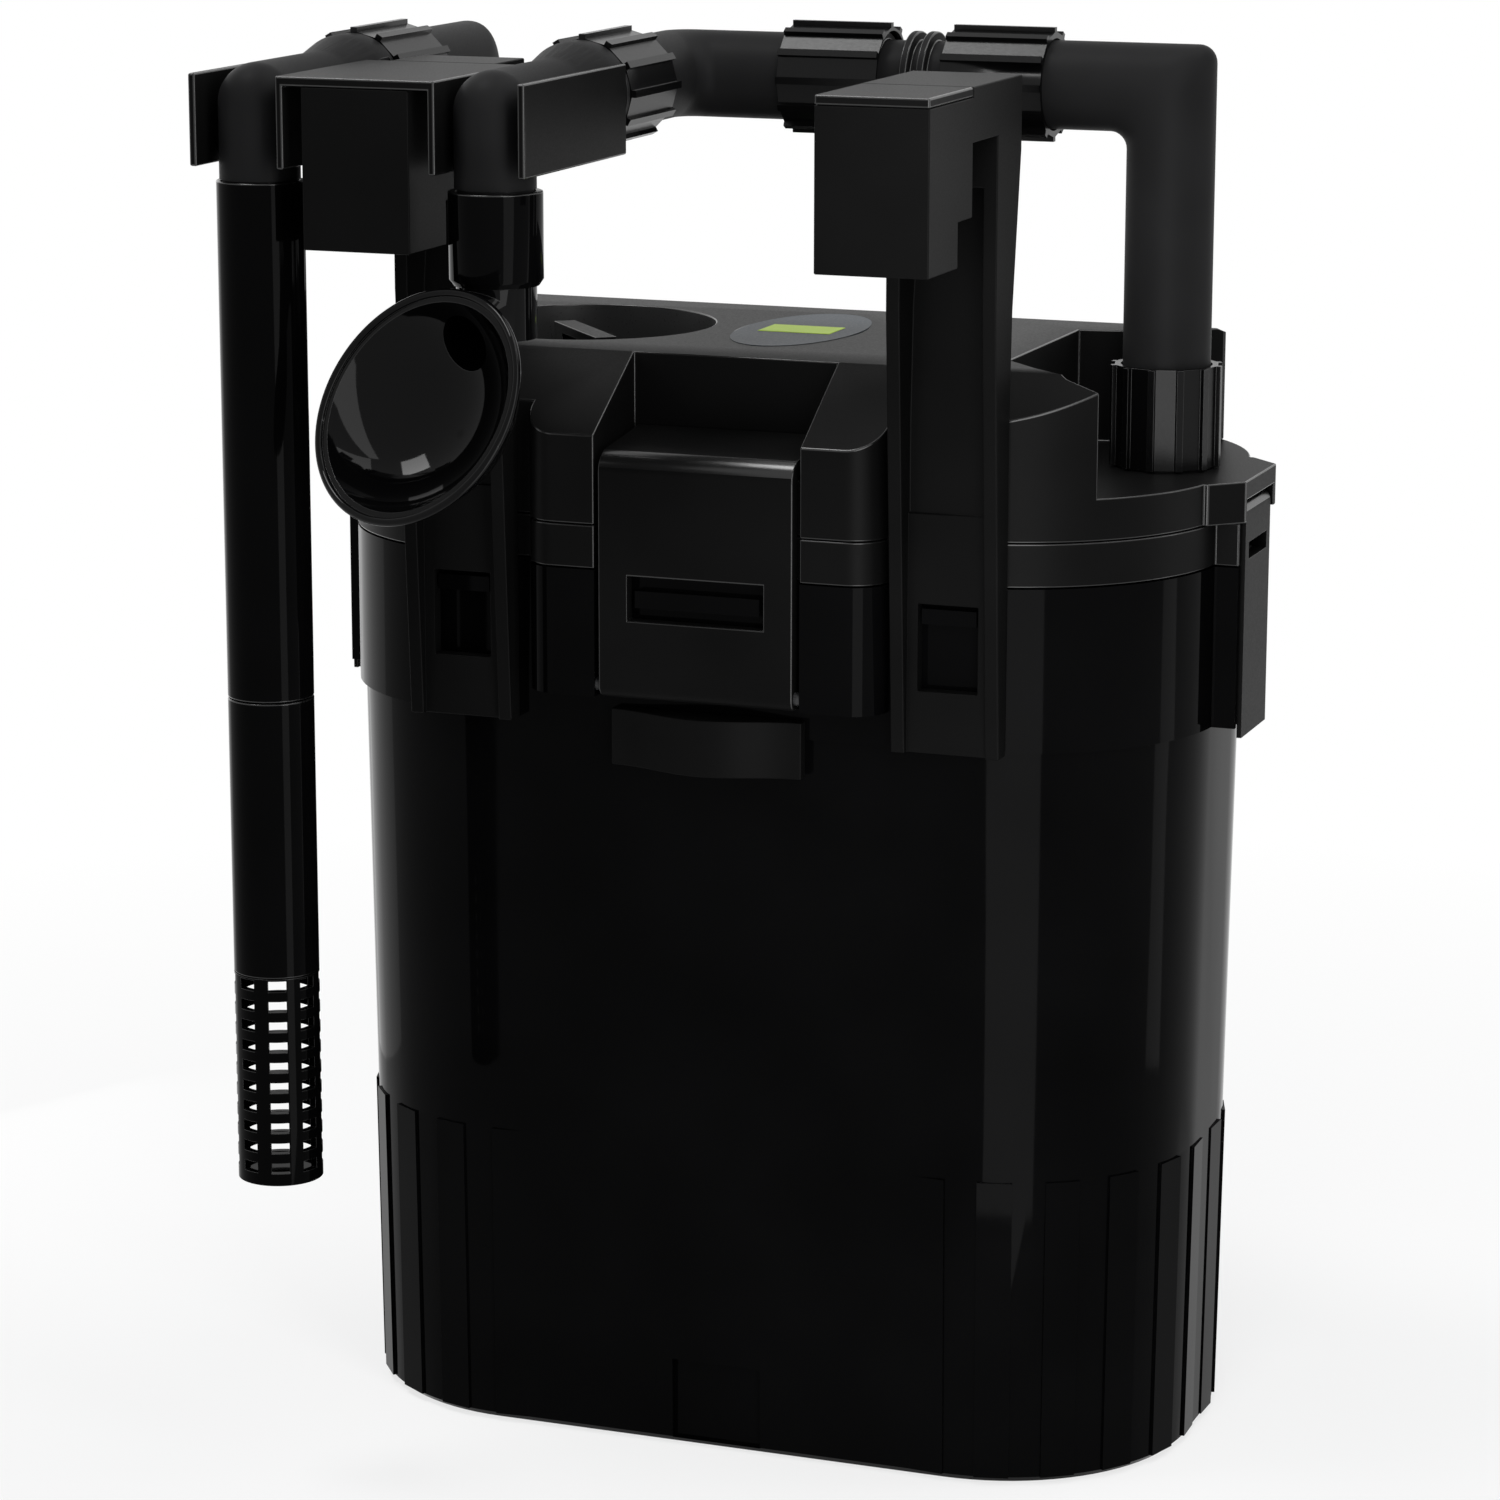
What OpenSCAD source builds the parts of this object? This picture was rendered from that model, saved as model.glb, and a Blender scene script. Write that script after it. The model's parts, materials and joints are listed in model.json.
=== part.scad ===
/* [Canister] */
// Length of the canister at its foot
can_l = 175.6; // [166:0.2:196]
// Depth of the canister at its foot
can_d = 94.9; // [85:0.1:105]
// Corner radius in plan
can_r = 39.6; // [28:0.2:44]
// Height of the plain body below the collar
can_h = 150.2; // [142:0.2:174]
// Outward draft of each wall over that height
can_draft = 2; // [0.5:0.1:3]
// Wall thickness
can_wall = 2.4; // [1.6:0.1:4]
// Floor thickness
can_floor = 3; // [2:0.1:6]
// Chamfer round the foot
foot_bevel = 1.2; // [0.5:0.1:3]
// Height of the collar
collar_h = 32.2; // [24:0.2:44]
// Step of the collar outside the body
collar_step = 1.25; // [0.75:0.05:4]
// Height of the ribbed zone at the corners
rib_h = 63; // [30:1:100]
// Width of one rib
rib_w = 7; // [4:0.2:9]
// How far a rib stands out
rib_out = 0.4; // [0.3:0.1:1]
// Angle from rib to rib round a corner
rib_pitch = 19.2; // [14:0.2:24]
// Width of the thumb notch at the foot
notch_w = 19; // [10:0.5:30]
// Height of the thumb notch
notch_h = 17; // [8:0.5:24]
// Depth of the thumb notch
notch_deep = 1.4; // [0.6:0.1:1.8]

/* [Head] */
// Gap between the collar rim and the head
seam = 0.3; // [0.3:0.1:1]
// Height of the head base ring
base_ring_h = 8.5; // [7:0.1:12]
// Height of the cover up to its flat top
cover_h = 31.1; // [28:0.1:40]
// Wall of the cover
cover_wall = 2.4; // [1.6:0.1:3.5]
// Height of the low ledge at both ends of the cover
ledge_h = 8.2; // [6:0.2:12]
// Half depth of the flat top
top_half = 37; // [30:0.5:42]
// Height of the front edge of the cover above its lower edge
brow_h = 17.5; // [15:0.1:22]
// Raised middle ends this far inside the ends of the foot
middle_in = 36.3; // [34:0.1:38]
// Radius of the round recess of the priming cap
recess_r = 27; // [22:0.5:29]
// Depth of that recess
recess_deep = 11; // [7:0.5:14]
// Centre of that recess inside the left end of the foot
recess_in = 40.8; // [38:0.1:43]
// Depth of the skirt below the base plate
skirt_h = 12; // [9:0.5:18]
// Clearance of the skirt inside the collar
skirt_gap = 0.4; // [0.2:0.1:0.8]
// Thickness of the skirt
skirt_t = 5; // [4:0.2:7]
// Thickness of the seal cord
seal_t = 3; // [2:0.1:4]
// Half length of the badge
badge_half = 26; // [15:0.5:30]
// Half width of the badge
badge_w = 12.4; // [8:0.2:15]

/* [Clips] */
// Width of the front and rear clips
clip_w = 40.2; // [30:0.2:46]
// Width of the side clips
side_clip_w = 18.6; // [12:0.2:20]
// Thickness of a clip
clip_t = 3; // [2.4:0.1:4]
// Gap on each side of a clip
clip_gap = 1.2; // [0.5:0.1:2]
// Radius of the clip hinge pins
pin_r = 1.3; // [1:0.1:1.6]
// Running clearance on the pins
pin_run = 0.1; // [0.05:0.01:0.1]
// Half width of the cheek block round the front clip
cheek_half = 37; // [32:0.5:39]
// How far the cheek block stands out of the collar
cheek_out = 7.8; // [6:0.1:10]
// How far the side cheeks stand out
side_out = 4.55; // [4.4:0.05:6]
// Corner radius of the cheek block
cheek_r = 7; // [3:0.5:7.5]

/* [Hooks] */
// Middle of each hook inside the end of the foot
hook_in = 37.2; // [36:0.1:38.5]
// Width of a hook
hook_w = 21.8; // [18:0.2:24]
// Top of the hooks above the foot
hook_top = 280; // [270:1:300]
// Height of the hook block
block_h = 32.2; // [24:0.2:40]
// Clear gap for the tank glass
glass_gap = 15.1; // [8:0.1:20]
// Length of the block in front of the glass
block_l = 25.2; // [18:0.2:32]
// Length of the lower step of the block
step_l = 16.9; // [10:0.2:22]
// Thickness of the post
post_t = 14.7; // [10:0.1:16]
// Thickness of the bridge over the glass
bridge_t = 10.2; // [6:0.2:14]
// Thickness of the cap on the block
cap_t = 1.9; // [1:0.1:3]
// Thickness of the web of the post
web_t = 2.6; // [2:0.1:4]
// Thickness of the two side flanges
flange_t = 2.8; // [2:0.1:4]

/* [Pipes] */
// Radius of the glossy intake pipe
pipe_r = 8.35; // [7.6:0.05:8.6]
// Bore radius of all pipes
bore_r = 5.6; // [4:0.1:6.4]
// Radius of the elbows in the tank
elbow_r = 7.7; // [7.4:0.1:8]
// Radius of the rear pipes
rear_r = 8.7; // [7.5:0.1:9]
// Pipe runs below the top of the hooks
run_drop = 6; // [5:0.5:8]
// Tank pipes behind the front of the hooks
tank_in = 9.5; // [9:0.1:11]
// Intake pipe outside the left hook
intake_out = 25; // [24.5:0.1:26]
// Outlet pipe inside the left hook
outlet_in = 23.4; // [23:0.1:24.4]
// Outlet spigot inside the right end of the foot
spigot_in = 11.2; // [10.5:0.1:13]
// Rear spigots behind the middle
spigot_y = 1.6; // [0:0.2:4]
// Lower end of the strainer
strainer_z = 63; // [40:0.5:90]
// Length of the slotted strainer
strainer_l = 42; // [30:0.5:60]
// Rows of slots
slot_rows = 10; // [4:1:14]
// Upright bars between the slots
slot_bars = 8; // [4:2:10]
// Joint between upper and lower intake pipe
joint_z = 160; // [130:1:200]

/* [Nuts] */
// Outer radius of the union nuts
nut_r = 11.2; // [10.6:0.1:12]
// Length of a union nut
nut_l = 24; // [20:0.5:25]
// Height of the grip teeth
tooth_h = 1.1; // [0.5:0.1:1.5]
// Number of grip teeth
teeth = 12; // [8:1:18]
// Width of one grip tooth
tooth_w = 1.4; // [1:0.1:3]
// Running gap between nut and pipe
nut_gap = 0.35; // [0.3:0.05:0.6]

/* [Nozzle] */
// Radius of the outlet socket
socket_r = 8.9; // [8.6:0.1:10]
// Length of the outlet socket
socket_l = 18; // [12:0.5:24]
// Radius of the scoop rim
scoop_r = 22.6; // [16:0.2:24]
// Depth of the scoop
scoop_deep = 15; // [10:0.5:18]
// Wall of the scoop
scoop_wall = 1.6; // [1.2:0.1:2.4]

/* [Hidden] */
$fn = 96;
e = 0.01;
rim_z = can_h + collar_h;
ring_z = rim_z + seam;
cover_z = ring_z + base_ring_h + 0.2;
top_z = cover_z + cover_h;
ledge_z = cover_z + ledge_h;
brow_z = cover_z + brow_h;
collar_l = can_l + 2 * can_draft + 2 * collar_step;
collar_d = can_d + 2 * can_draft + 2 * collar_step;
collar_r = can_r + can_draft + collar_step;
collar_y = collar_d / 2;
collar_x = collar_l / 2;
cheek_y = collar_y + cheek_out;
side_x = collar_x + side_out;
hook_x = can_l / 2 - hook_in;
hook_off = 0.8;
left_x = hook_x + hook_off;
right_x = hook_x - hook_off;
intake_x = hook_x + intake_out;
outlet_x = hook_x - outlet_in;
spigot_x = can_l / 2 - spigot_in;
middle_half = can_l / 2 - middle_in;
recess_x = can_l / 2 - recess_in;
run_z = hook_top - run_drop;
bump_t = 1.2;
side_half = side_clip_w / 2 + clip_gap + bump_t;
bump_out = 1.2;
bump_bevel = 6;
cheek_z = can_h + 7;
clip_proud = 0.8;
slot_play = 0.5;
clip_face = cheek_y + clip_proud;
slot_y = clip_face - clip_t - slot_play;
slot_half = clip_w / 2 + clip_gap;
side_face = side_x + clip_proud;
side_slot_x = side_face - clip_t - slot_play;
side_slot_half = side_clip_w / 2 + clip_gap;
barrel_r = clip_t - 0.6;
pin_z = cheek_z + barrel_r;
side_pin_z = can_h + barrel_r;
side_tail = 4.7;
side_tail_t = 1;
pin_over = 5;
side_pin_l = side_clip_w + 2 * clip_gap + 1.2;
lip_z = brow_z - 2.8;
lip_rise = 2.2;
lip_t = 3.4;
lip_play = 0.6;
lip_end = top_half + 1;
knee_r = 4.2;
side_knee_r = 2.4;
side_lip_z = ledge_z - 4.6;
side_lip_l = 5;
side_lip_play = 0.8;
lip_fillet = 0.6;
window_z = pin_z + 13.4;
window_h = 8.8;
window_half = clip_w / 2 - 6;
catch_h = 3.4;
catch_play = 1.2;
side_window_z = side_lip_z - 11.5;
rise = (top_z - brow_z) / (cheek_y - top_half);
inner_l = collar_l - 2 * can_wall;
inner_d = collar_d - 2 * can_wall;
inner_r = collar_r - can_wall;
seat = 0.1;
post_back = -(collar_y + seat);
foot_t = 4.4;
knee_t = 9.4;
post_front = post_back - knee_t;
rail_front = post_back - foot_t;
post_top_back = post_front + post_t;
shoulder_z = hook_top - 14;
channel_z = hook_top - 20;
knee_z = hook_top - 44;
ankle_z = hook_top - 65;
web_step_z = can_h + 46.8;
web_step = 0.6;
glass_front = post_front - glass_gap;
hook_front = glass_front - block_l;
step_back = hook_front + step_l;
block_z = hook_top - block_h;
step_z = block_z + 8.4;
bridge_z = hook_top - bridge_t;
channel_half = hook_w / 2 - flange_t;
hatch_half = 6;
hatch_z = can_h + 12.2;
hatch_h = 17;
tongue_h = 3;
tongue_z = hatch_z + hatch_h - 1 - tongue_h;
tongue_out = 2.4;
saddle_wall = 1.5;
saddle_gap = 0.3;
saddle_play = 0.8;
saddle_l = 50;
saddle_floor_t = 3.4;
saddle_floor_gap = 0.3;
flare_room = 13.5;
thread_out = 0.55;
thread_r = rear_r + thread_out;
nut_bore = thread_r + nut_gap;
root_r = nut_r - tooth_h;
nut_lip_t = 3;
flange_w = 2;
grip = 9;
end_gap = 0.2;
face_gap = 0.4;
ledge_nut_z = ledge_z + face_gap;
ledge_nut_l = nut_l - 4;
thread_z = ledge_nut_z + grip;
tank_y = -hook_front - tank_in;
union_front = hook_front + saddle_l + 2;
flare_l = 11;
shoulder_l = 5;
coupling_off = 0.7;
coupling_x = (spigot_x - outlet_x) / 2 + coupling_off;
coupling_gap = 13.1;
sleeve_r = 7.8;
ring_r = rear_r + 1;
nut_a_x = coupling_x - coupling_gap / 2;
nut_b_x = coupling_x + coupling_gap / 2;
run_nut_l = nut_l - 3.2;
elbow_drop = 14.4;
socket_top = run_z - elbow_drop;
socket_z = socket_top - socket_l;
spigot_l = 8;
pipe_wall = 1;
plug_r = pipe_r - pipe_wall - 0.1;
neck_r = socket_r - 1.3;
neck_play = 0.35;
neck_up = 7;
scoop_turn = 18.5;
scoop_tilt = 28.8;
scoop_reach = 22.2;
scoop_drop = 20.1;
neck_drop = 3.5;
neck_dip = 35;
neck_low = 9.6;
rim_r = 0.8;
ball_r = (scoop_r * scoop_r + scoop_deep * scoop_deep) / (2 * scoop_deep);
pump_x = 12;
well_r = 10;
well_wall = 1.4;
well_cap = 1.6;
magnet_r = 7.8;
shaft_r = 1.2;
shaft_play = 0.08;
chamber_r = 17;
chamber_wall = 3;
chamber_h = 12;
chamber_z = ring_z - chamber_h;
duct_r = 4;
duct_half = 7;
duct_end_r = 8;
eye_place_r = 6.4;
eye_r = 2;
hub_r = 4;
vane_l = 12;
vane_t = 1.2;
vane_h = 7;
well_rise = 25;
well_top = ring_z + well_rise;
motor_l = 0.485 * can_d;
motor_d = 0.525 * can_d;
motor_h = 0.77 * cover_h;
motor_gap = 3.3;
basket_gap = 2;
basket_wall = 1.8;
basket_floor = 2;
basket_h = 0.44 * can_h;
basket_cut = bore_r + 3 - intake_x;
basket_slot = 4;
basket_pitch = 10;
media_gap = 0.8;
sponge_h = 0.69 * basket_h;
pad_h = 0.45 * basket_h;
downpipe_wall = 1.4;
downpipe_cut = can_floor + 5;
recess_z = top_z - recess_deep;
recess_floor_t = 2.6;
stem_r = 8;
stem_l = 8;
stem_play = 0.4;
knob_r = 13;
knob_t = 2;
knob_gap = 0.8;
knob_turn = 49;
bar_l = 26.8;
bar_w = 4.5;
bar_low = 1.5;
cap_seal_r = 0.85;
cap_seal_ring = stem_r + 2.7;
gland_r = 3;
gland_x = -30;
gland_up = 5.5;
badge_x = -1;
badge_y = 4;
badge_t = 0.6;
badge_deep = 0.35;
badge_play = 0.15;
spacer_up = 3.2;
spacer_h = 11.4;
spacer_out = 5;
spacer_wave = 2.4;
pocket_front = -41.5;
pocket_back = 38;
slot_low = 2.5;
slot_top = 0.4;
slot_h = 2.1;
strainer_wall = 1.5;
big = 300;

// Rounded rectangle round the origin
module plan(l, d, r) {
  square([l - 2 * r, d], center = true);
  square([l, d - 2 * r], center = true);
  for (sx = [-1, 1], sy = [-1, 1])
    translate([sx * (l / 2 - r), sy * (d / 2 - r)]) circle(r = r);
}

module slab(l, d, r, z, h) {
  translate([0, 0, z]) linear_extrude(height = h) plan(l, d, r);
}

// Plan of the collar's bore, drawn in by inset
module inner_plan(inset) plan(inner_l - 2 * inset, inner_d - 2 * inset, inner_r - inset);

// Rounded block whose walls lean out by grow over its height
module drafted(l, d, r, z, h, grow) {
  translate([0, 0, z]) {
    rotate([90, 0, 0]) linear_extrude(height = d - 2 * r, center = true)
      polygon([[-l / 2, 0], [l / 2, 0], [l / 2 + grow, h], [-l / 2 - grow, h]]);
    rotate([90, 0, 90]) linear_extrude(height = l - 2 * r, center = true)
      polygon([[-d / 2, 0], [d / 2, 0], [d / 2 + grow, h], [-d / 2 - grow, h]]);
    for (sx = [-1, 1], sy = [-1, 1])
      translate([sx * (l / 2 - r), sy * (d / 2 - r)]) cylinder(r1 = r, r2 = r + grow, h = h);
  }
}

module front_and_back() {
  children();
  mirror([0, 1, 0]) children();
}

module left_and_right() {
  children();
  mirror([1, 0, 0]) children();
}

module rod_x(r, l, y, z) {
  translate([0, y, z]) rotate([0, 90, 0]) cylinder(r = r, h = l, center = true);
}

module rod_y(r, l, x, z) {
  translate([x, 0, z]) rotate([90, 0, 0]) cylinder(r = r, h = l, center = true);
}

module tube(r, bore, z, h) {
  translate([0, 0, z]) difference() {
    cylinder(r = r, h = h);
    translate([0, 0, -1]) cylinder(r = bore, h = h + 2);
  }
}

// Block that carries a clip, seen from above, with round outer corners
module cheek_plan() {
  depth = cheek_out + 12;
  translate([-cheek_half + cheek_r, -cheek_y]) square([2 * (cheek_half - cheek_r), depth]);
  translate([-cheek_half, -cheek_y + cheek_r]) square([2 * cheek_half, depth - cheek_r]);
  for (s = [-1, 1])
    translate([s * (cheek_half - cheek_r), -cheek_y + cheek_r]) circle(r = cheek_r);
}

// Collar outline with its front and rear cheek blocks
module outline() {
  plan(collar_l, collar_d, collar_r);
  cheek_plan();
  mirror([0, 1]) cheek_plan();
}

// Blocks over the side clips, with slanted corners
module bump_plan() {
  out = side_x + bump_out;
  wide = side_half + bump_bevel;
  polygon([[bump_bevel - out, -wide], [out - bump_bevel, -wide], [out, -side_half],
    [out, side_half], [out - bump_bevel, wide], [bump_bevel - out, wide], [-out, side_half],
    [-out, -side_half]]);
}

module side_blocks() square([2 * side_x, 2 * side_half], center = true);

// Slots in which the four clips lie
module long_slots(z, h) {
  front_and_back() translate([-slot_half, -slot_y - 10, z]) cube([2 * slot_half, 10, h]);
}

module side_slots(z, h) {
  left_and_right() translate([side_slot_x, -side_slot_half, z])
    cube([10, 2 * side_slot_half, h]);
}

// Room for the clip barrels and holes for their pins
module hinge_room(barrel_play, pin_play) {
  front_and_back() rod_x(barrel_r + barrel_play, 2 * slot_half, -clip_face + barrel_r, pin_z);
  front_and_back() rod_x(pin_r + pin_play, clip_w + 2 * pin_over + 2, -clip_face + barrel_r, pin_z);
  left_and_right()
    rod_y(barrel_r + barrel_play, 2 * side_slot_half, side_face - barrel_r, side_pin_z);
  left_and_right()
    rod_y(pin_r + pin_play, side_pin_l + 0.4, side_face - barrel_r, side_pin_z);
}

module corner_ribs() {
  lean = atan(can_draft / can_h);
  first_rib = -94.5;
  for (sx = [0, 1], sy = [0, 1], k = [0 : 5])
    mirror([sx, 0, 0]) mirror([0, sy, 0])
      translate([can_l / 2 - can_r, can_r - can_d / 2, 0])
        rotate([0, 0, first_rib + k * rib_pitch]) translate([can_r - 1, -rib_w / 2, foot_bevel])
          rotate([0, lean, 0]) cube([1 + rib_out, rib_w, rib_h - foot_bevel]);
}

// Cheek blocks and the bars that the clip windows snap over
module collar_blocks() {
  difference() {
    union() {
      translate([0, 0, cheek_z]) linear_extrude(height = rim_z - cheek_z) outline();
      translate([0, 0, can_h]) linear_extrude(height = collar_h) side_blocks();
    }
    long_slots(can_h - 20, collar_h + 40);
    side_slots(can_h - 20, collar_h + 40);
    hinge_room(slot_play, 0.05);
  }
  front_and_back()
    translate([catch_play - window_half, catch_play - clip_face, window_z + 2 * catch_play])
      cube([2 * (window_half - catch_play), clip_face - catch_play - slot_y + 1, catch_h]);
}

// Tongue behind the hatch of each hook
module tongues() {
  for (s = [-1, 1])
    translate([s * hook_x - hook_off - hatch_half + 0.5, -collar_y - tongue_out, tongue_z])
      cube([2 * hatch_half - 1, tongue_out + 1, tongue_h]);
}

module canister_body() color([0.03, 0.03, 0.035]) {
  foot = 2 * foot_bevel;
  difference() {
    union() {
      drafted(can_l - foot, can_d - foot, can_r - foot_bevel, 0, foot_bevel, foot_bevel);
      drafted(can_l, can_d, can_r, foot_bevel, can_h - foot_bevel, can_draft);
      corner_ribs();
      slab(collar_l, collar_d, collar_r, can_h, collar_h);
      collar_blocks();
      tongues();
    }
    drafted(can_l - 2 * can_wall, can_d - 2 * can_wall, can_r - can_wall,
      can_floor, can_h - can_floor + e, can_draft);
    slab(inner_l, inner_d, inner_r, can_h, collar_h + 1);
    translate([-notch_w / 2, -can_d / 2 - 1, 1]) cube([notch_w, 1 + notch_deep, notch_h]);
  }
}

// Plate with a wavy front that keeps the canister off the tank glass
module spacer_plate() color([0.09, 0.09, 0.09]) {
  half = clip_w / 2 - 0.2;
  steps = 24;
  wave = [for (i = [0 : steps]) let (x = half * (2 * i / steps - 1))
    [x, -collar_y - spacer_out - spacer_wave * cos(180 * x / half)]];
  translate([0, 0, cheek_z - spacer_up - spacer_h]) linear_extrude(height = spacer_h)
    polygon(concat(wave, [[half, -collar_y - 0.05], [-half, -collar_y - 0.05]]));
}

module inlet_downpipe() color([0.12, 0.12, 0.13])
  translate([-intake_x, spigot_y, 0])
    tube(bore_r + downpipe_wall, bore_r, downpipe_cut, ring_z - 0.1 - downpipe_cut);

// Outline of the media baskets, cut off on the side of the downpipe
module basket_plan(inset) {
  room = can_wall + basket_gap + inset;
  intersection() {
    plan(can_l - 2 * room, can_d - 2 * room, can_r - room);
    translate([basket_cut + inset, -can_d]) square([2 * can_l, 2 * can_d]);
  }
}

module basket(z) {
  slot_d = can_d - 30;
  difference() {
    translate([0, 0, z]) linear_extrude(height = basket_h) basket_plan(0);
    translate([0, 0, z + basket_floor]) linear_extrude(height = basket_h) basket_plan(basket_wall);
    for (x = [8 - intake_x + basket_pitch : basket_pitch : can_l / 2 - basket_pitch])
      translate([x, -slot_d / 2, z - 1]) cube([basket_slot, slot_d, basket_floor + 2]);
  }
}

module lower_basket() color([0.2, 0.2, 0.22]) basket(can_floor + 0.3);
module upper_basket() color([0.2, 0.2, 0.22]) basket(can_floor + 0.7 + basket_h);

module coarse_sponge() color([0.16, 0.3, 0.62])
  translate([0, 0, can_floor + 0.3 + basket_floor + 0.3])
    linear_extrude(height = sponge_h) basket_plan(basket_wall + media_gap);

module fine_pad() color([0.9, 0.9, 0.88])
  translate([0, 0, can_floor + 0.7 + basket_h + basket_floor + 0.3])
    linear_extrude(height = pad_h) basket_plan(basket_wall + media_gap);

module pump_place() translate([pump_x, 0, 0]) children();

module skirt_band(low, up, inset) translate([0, 0, low]) linear_extrude(height = up - low)
  difference() {
    inner_plan(inset);
    inner_plan(skirt_t);
  }

// Skirt inside the collar, with the groove of its seal
module skirt() {
  low = ring_z - skirt_h;
  groove_low = ring_z - skirt_h / 2 - seal_t / 2 - 0.1;
  groove_up = groove_low + seal_t + 0.2;
  skirt_band(low, groove_low, skirt_gap);
  skirt_band(groove_low - e, groove_up + e, seal_t + 0.2);
  skirt_band(groove_up, ring_z + e, skirt_gap);
}

// Well of the rotor, its chamber and the duct to the outlet spigot
module pump_housing() {
  pump_place() translate([0, 0, ring_z]) cylinder(r = well_r, h = well_top - ring_z);
  pump_place() translate([0, 0, chamber_z]) cylinder(r = chamber_r, h = chamber_h + e);
  translate([pump_x, spigot_y - duct_half, chamber_z])
    cube([spigot_x - pump_x, 2 * duct_half, chamber_h + e]);
  translate([spigot_x, spigot_y, chamber_z]) cylinder(r = duct_end_r, h = chamber_h + e);
}

module pump_ways() {
  pump_place() translate([0, 0, chamber_z - 1])
    cylinder(r = chamber_r - chamber_wall, h = chamber_h + 1);
  pump_place() translate([0, 0, chamber_z - 1])
    cylinder(r = well_r - well_wall, h = well_top - well_cap - chamber_z + 1);
  translate([pump_x + duct_r, spigot_y, chamber_z + chamber_h / 2]) rotate([0, 90, 0])
    cylinder(r = duct_r, h = spigot_x - pump_x - duct_r);
  translate([spigot_x, spigot_y, chamber_z + 1.2]) cylinder(r = bore_r, h = 60);
  translate([-intake_x, spigot_y, ring_z - 1]) cylinder(r = bore_r, h = 60);
}

module head_base() color([0.1, 0.1, 0.1]) {
  plate_t = 3;
  difference() {
    union() {
      difference() {
        translate([0, 0, ring_z]) linear_extrude(height = base_ring_h) {
          outline();
          side_blocks();
        }
        long_slots(ring_z - 1, base_ring_h + 2);
        side_slots(ring_z - 1, base_ring_h + 2);
        translate([0, 0, ring_z + plate_t]) linear_extrude(height = base_ring_h)
          inner_plan(plate_t);
      }
      skirt();
      pump_housing();
      for (x = [-intake_x, spigot_x]) translate([x, spigot_y, ring_z])
        cylinder(r = thread_r, h = thread_z - ring_z);
    }
    pump_ways();
  }
}

// Pocket beside the raised middle where the right union nut stands
module right_pocket() {
  translate([0, 0, ledge_z]) linear_extrude(height = big)
    polygon([[middle_half, -22], [spigot_x - 16.6, -31], [spigot_x - 8.6, -38],
      [spigot_x, pocket_front], [big, pocket_front], [big, pocket_back],
      [spigot_x + 2, pocket_back], [spigot_x - 5, 31], [spigot_x - 16, 27], [middle_half, 25]]);
}

// Pocket of the left union nut, open to the round recess
module left_pocket() {
  translate([0, 0, ledge_z]) {
    linear_extrude(height = big)
      polygon([[-intake_x, -22], [-intake_x - 1.4, pocket_front], [-big, pocket_front],
        [-big, pocket_back], [-intake_x - 3.4, pocket_back], [-intake_x, 25]]);
    translate([-intake_x, spigot_y, 0]) cylinder(r = nut_r + 2.6, h = big);
  }
}

// Side view of the cover: flat top, sloping down to both long sides
module crown(inset) {
  over = 2;
  y = cheek_y + over;
  low = brow_z - over * rise - inset;
  rotate([90, 0, 90]) linear_extrude(height = 2 * side_x + 10, center = true)
    polygon([[-y, 0], [-y, low], [-top_half, top_z - inset], [top_half, top_z - inset],
      [y, low], [y, 0]]);
}

// Room for the clip lips, and for a finger above them
module lip_room(grow) {
  low = lip_z - lip_t - lip_play - grow;
  half = slot_half + grow;
  front_and_back() translate([-half, -cheek_y - 5, low])
    cube([2 * half, cheek_y + 5 - top_half + grow, big]);
}

// Space inside the cover, clear of the recesses
module cover_cavity() {
  ceiling = big;
  difference() {
    intersection() {
      translate([0, 0, cover_z - 1]) linear_extrude(height = cover_h) inner_plan(3);
      crown(cover_wall);
      union() {
        translate([cover_wall - middle_half, -can_d, 0])
          cube([2 * (middle_half - cover_wall), 2 * can_d, ceiling]);
        translate([-can_l, -can_d, 0]) cube([2 * can_l, 2 * can_d, ledge_z - cover_wall]);
      }
    }
    recess(recess_r + cover_wall, recess_z - recess_floor_t);
    lip_room(cover_wall);
  }
}

module recess(r, z) translate([-recess_x, 0, z]) cylinder(r = r, h = 60);

// Hole of the priming knob's stem and the groove of its seal
module knob_seat() translate([-recess_x, 0, recess_z]) {
  groove = cap_seal_r + 0.25;
  translate([0, 0, -10]) cylinder(r = stem_r + stem_play, h = 20);
  difference() {
    translate([0, 0, -1]) cylinder(r = cap_seal_ring + groove, h = 2);
    translate([0, 0, -2]) cylinder(r = cap_seal_ring - groove, h = 4);
  }
}

// Hole for the supply cord at the back of the cover
module cord_gland() {
  translate([gland_x, collar_y, cover_z + gland_up]) rotate([90, 0, 0])
    cylinder(r = gland_r, h = 30, center = true);
}

module badge_shape(z, h, grow) {
  arc_r = (badge_half * badge_half + badge_w * badge_w) / (2 * badge_w);
  translate([badge_x, badge_y, z]) linear_extrude(height = h) intersection() {
    translate([arc_r - badge_w, 0]) circle(r = arc_r + grow);
    translate([badge_w - arc_r, 0]) circle(r = arc_r + grow);
    circle(r = badge_half - 1 + grow);
  }
}

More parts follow.
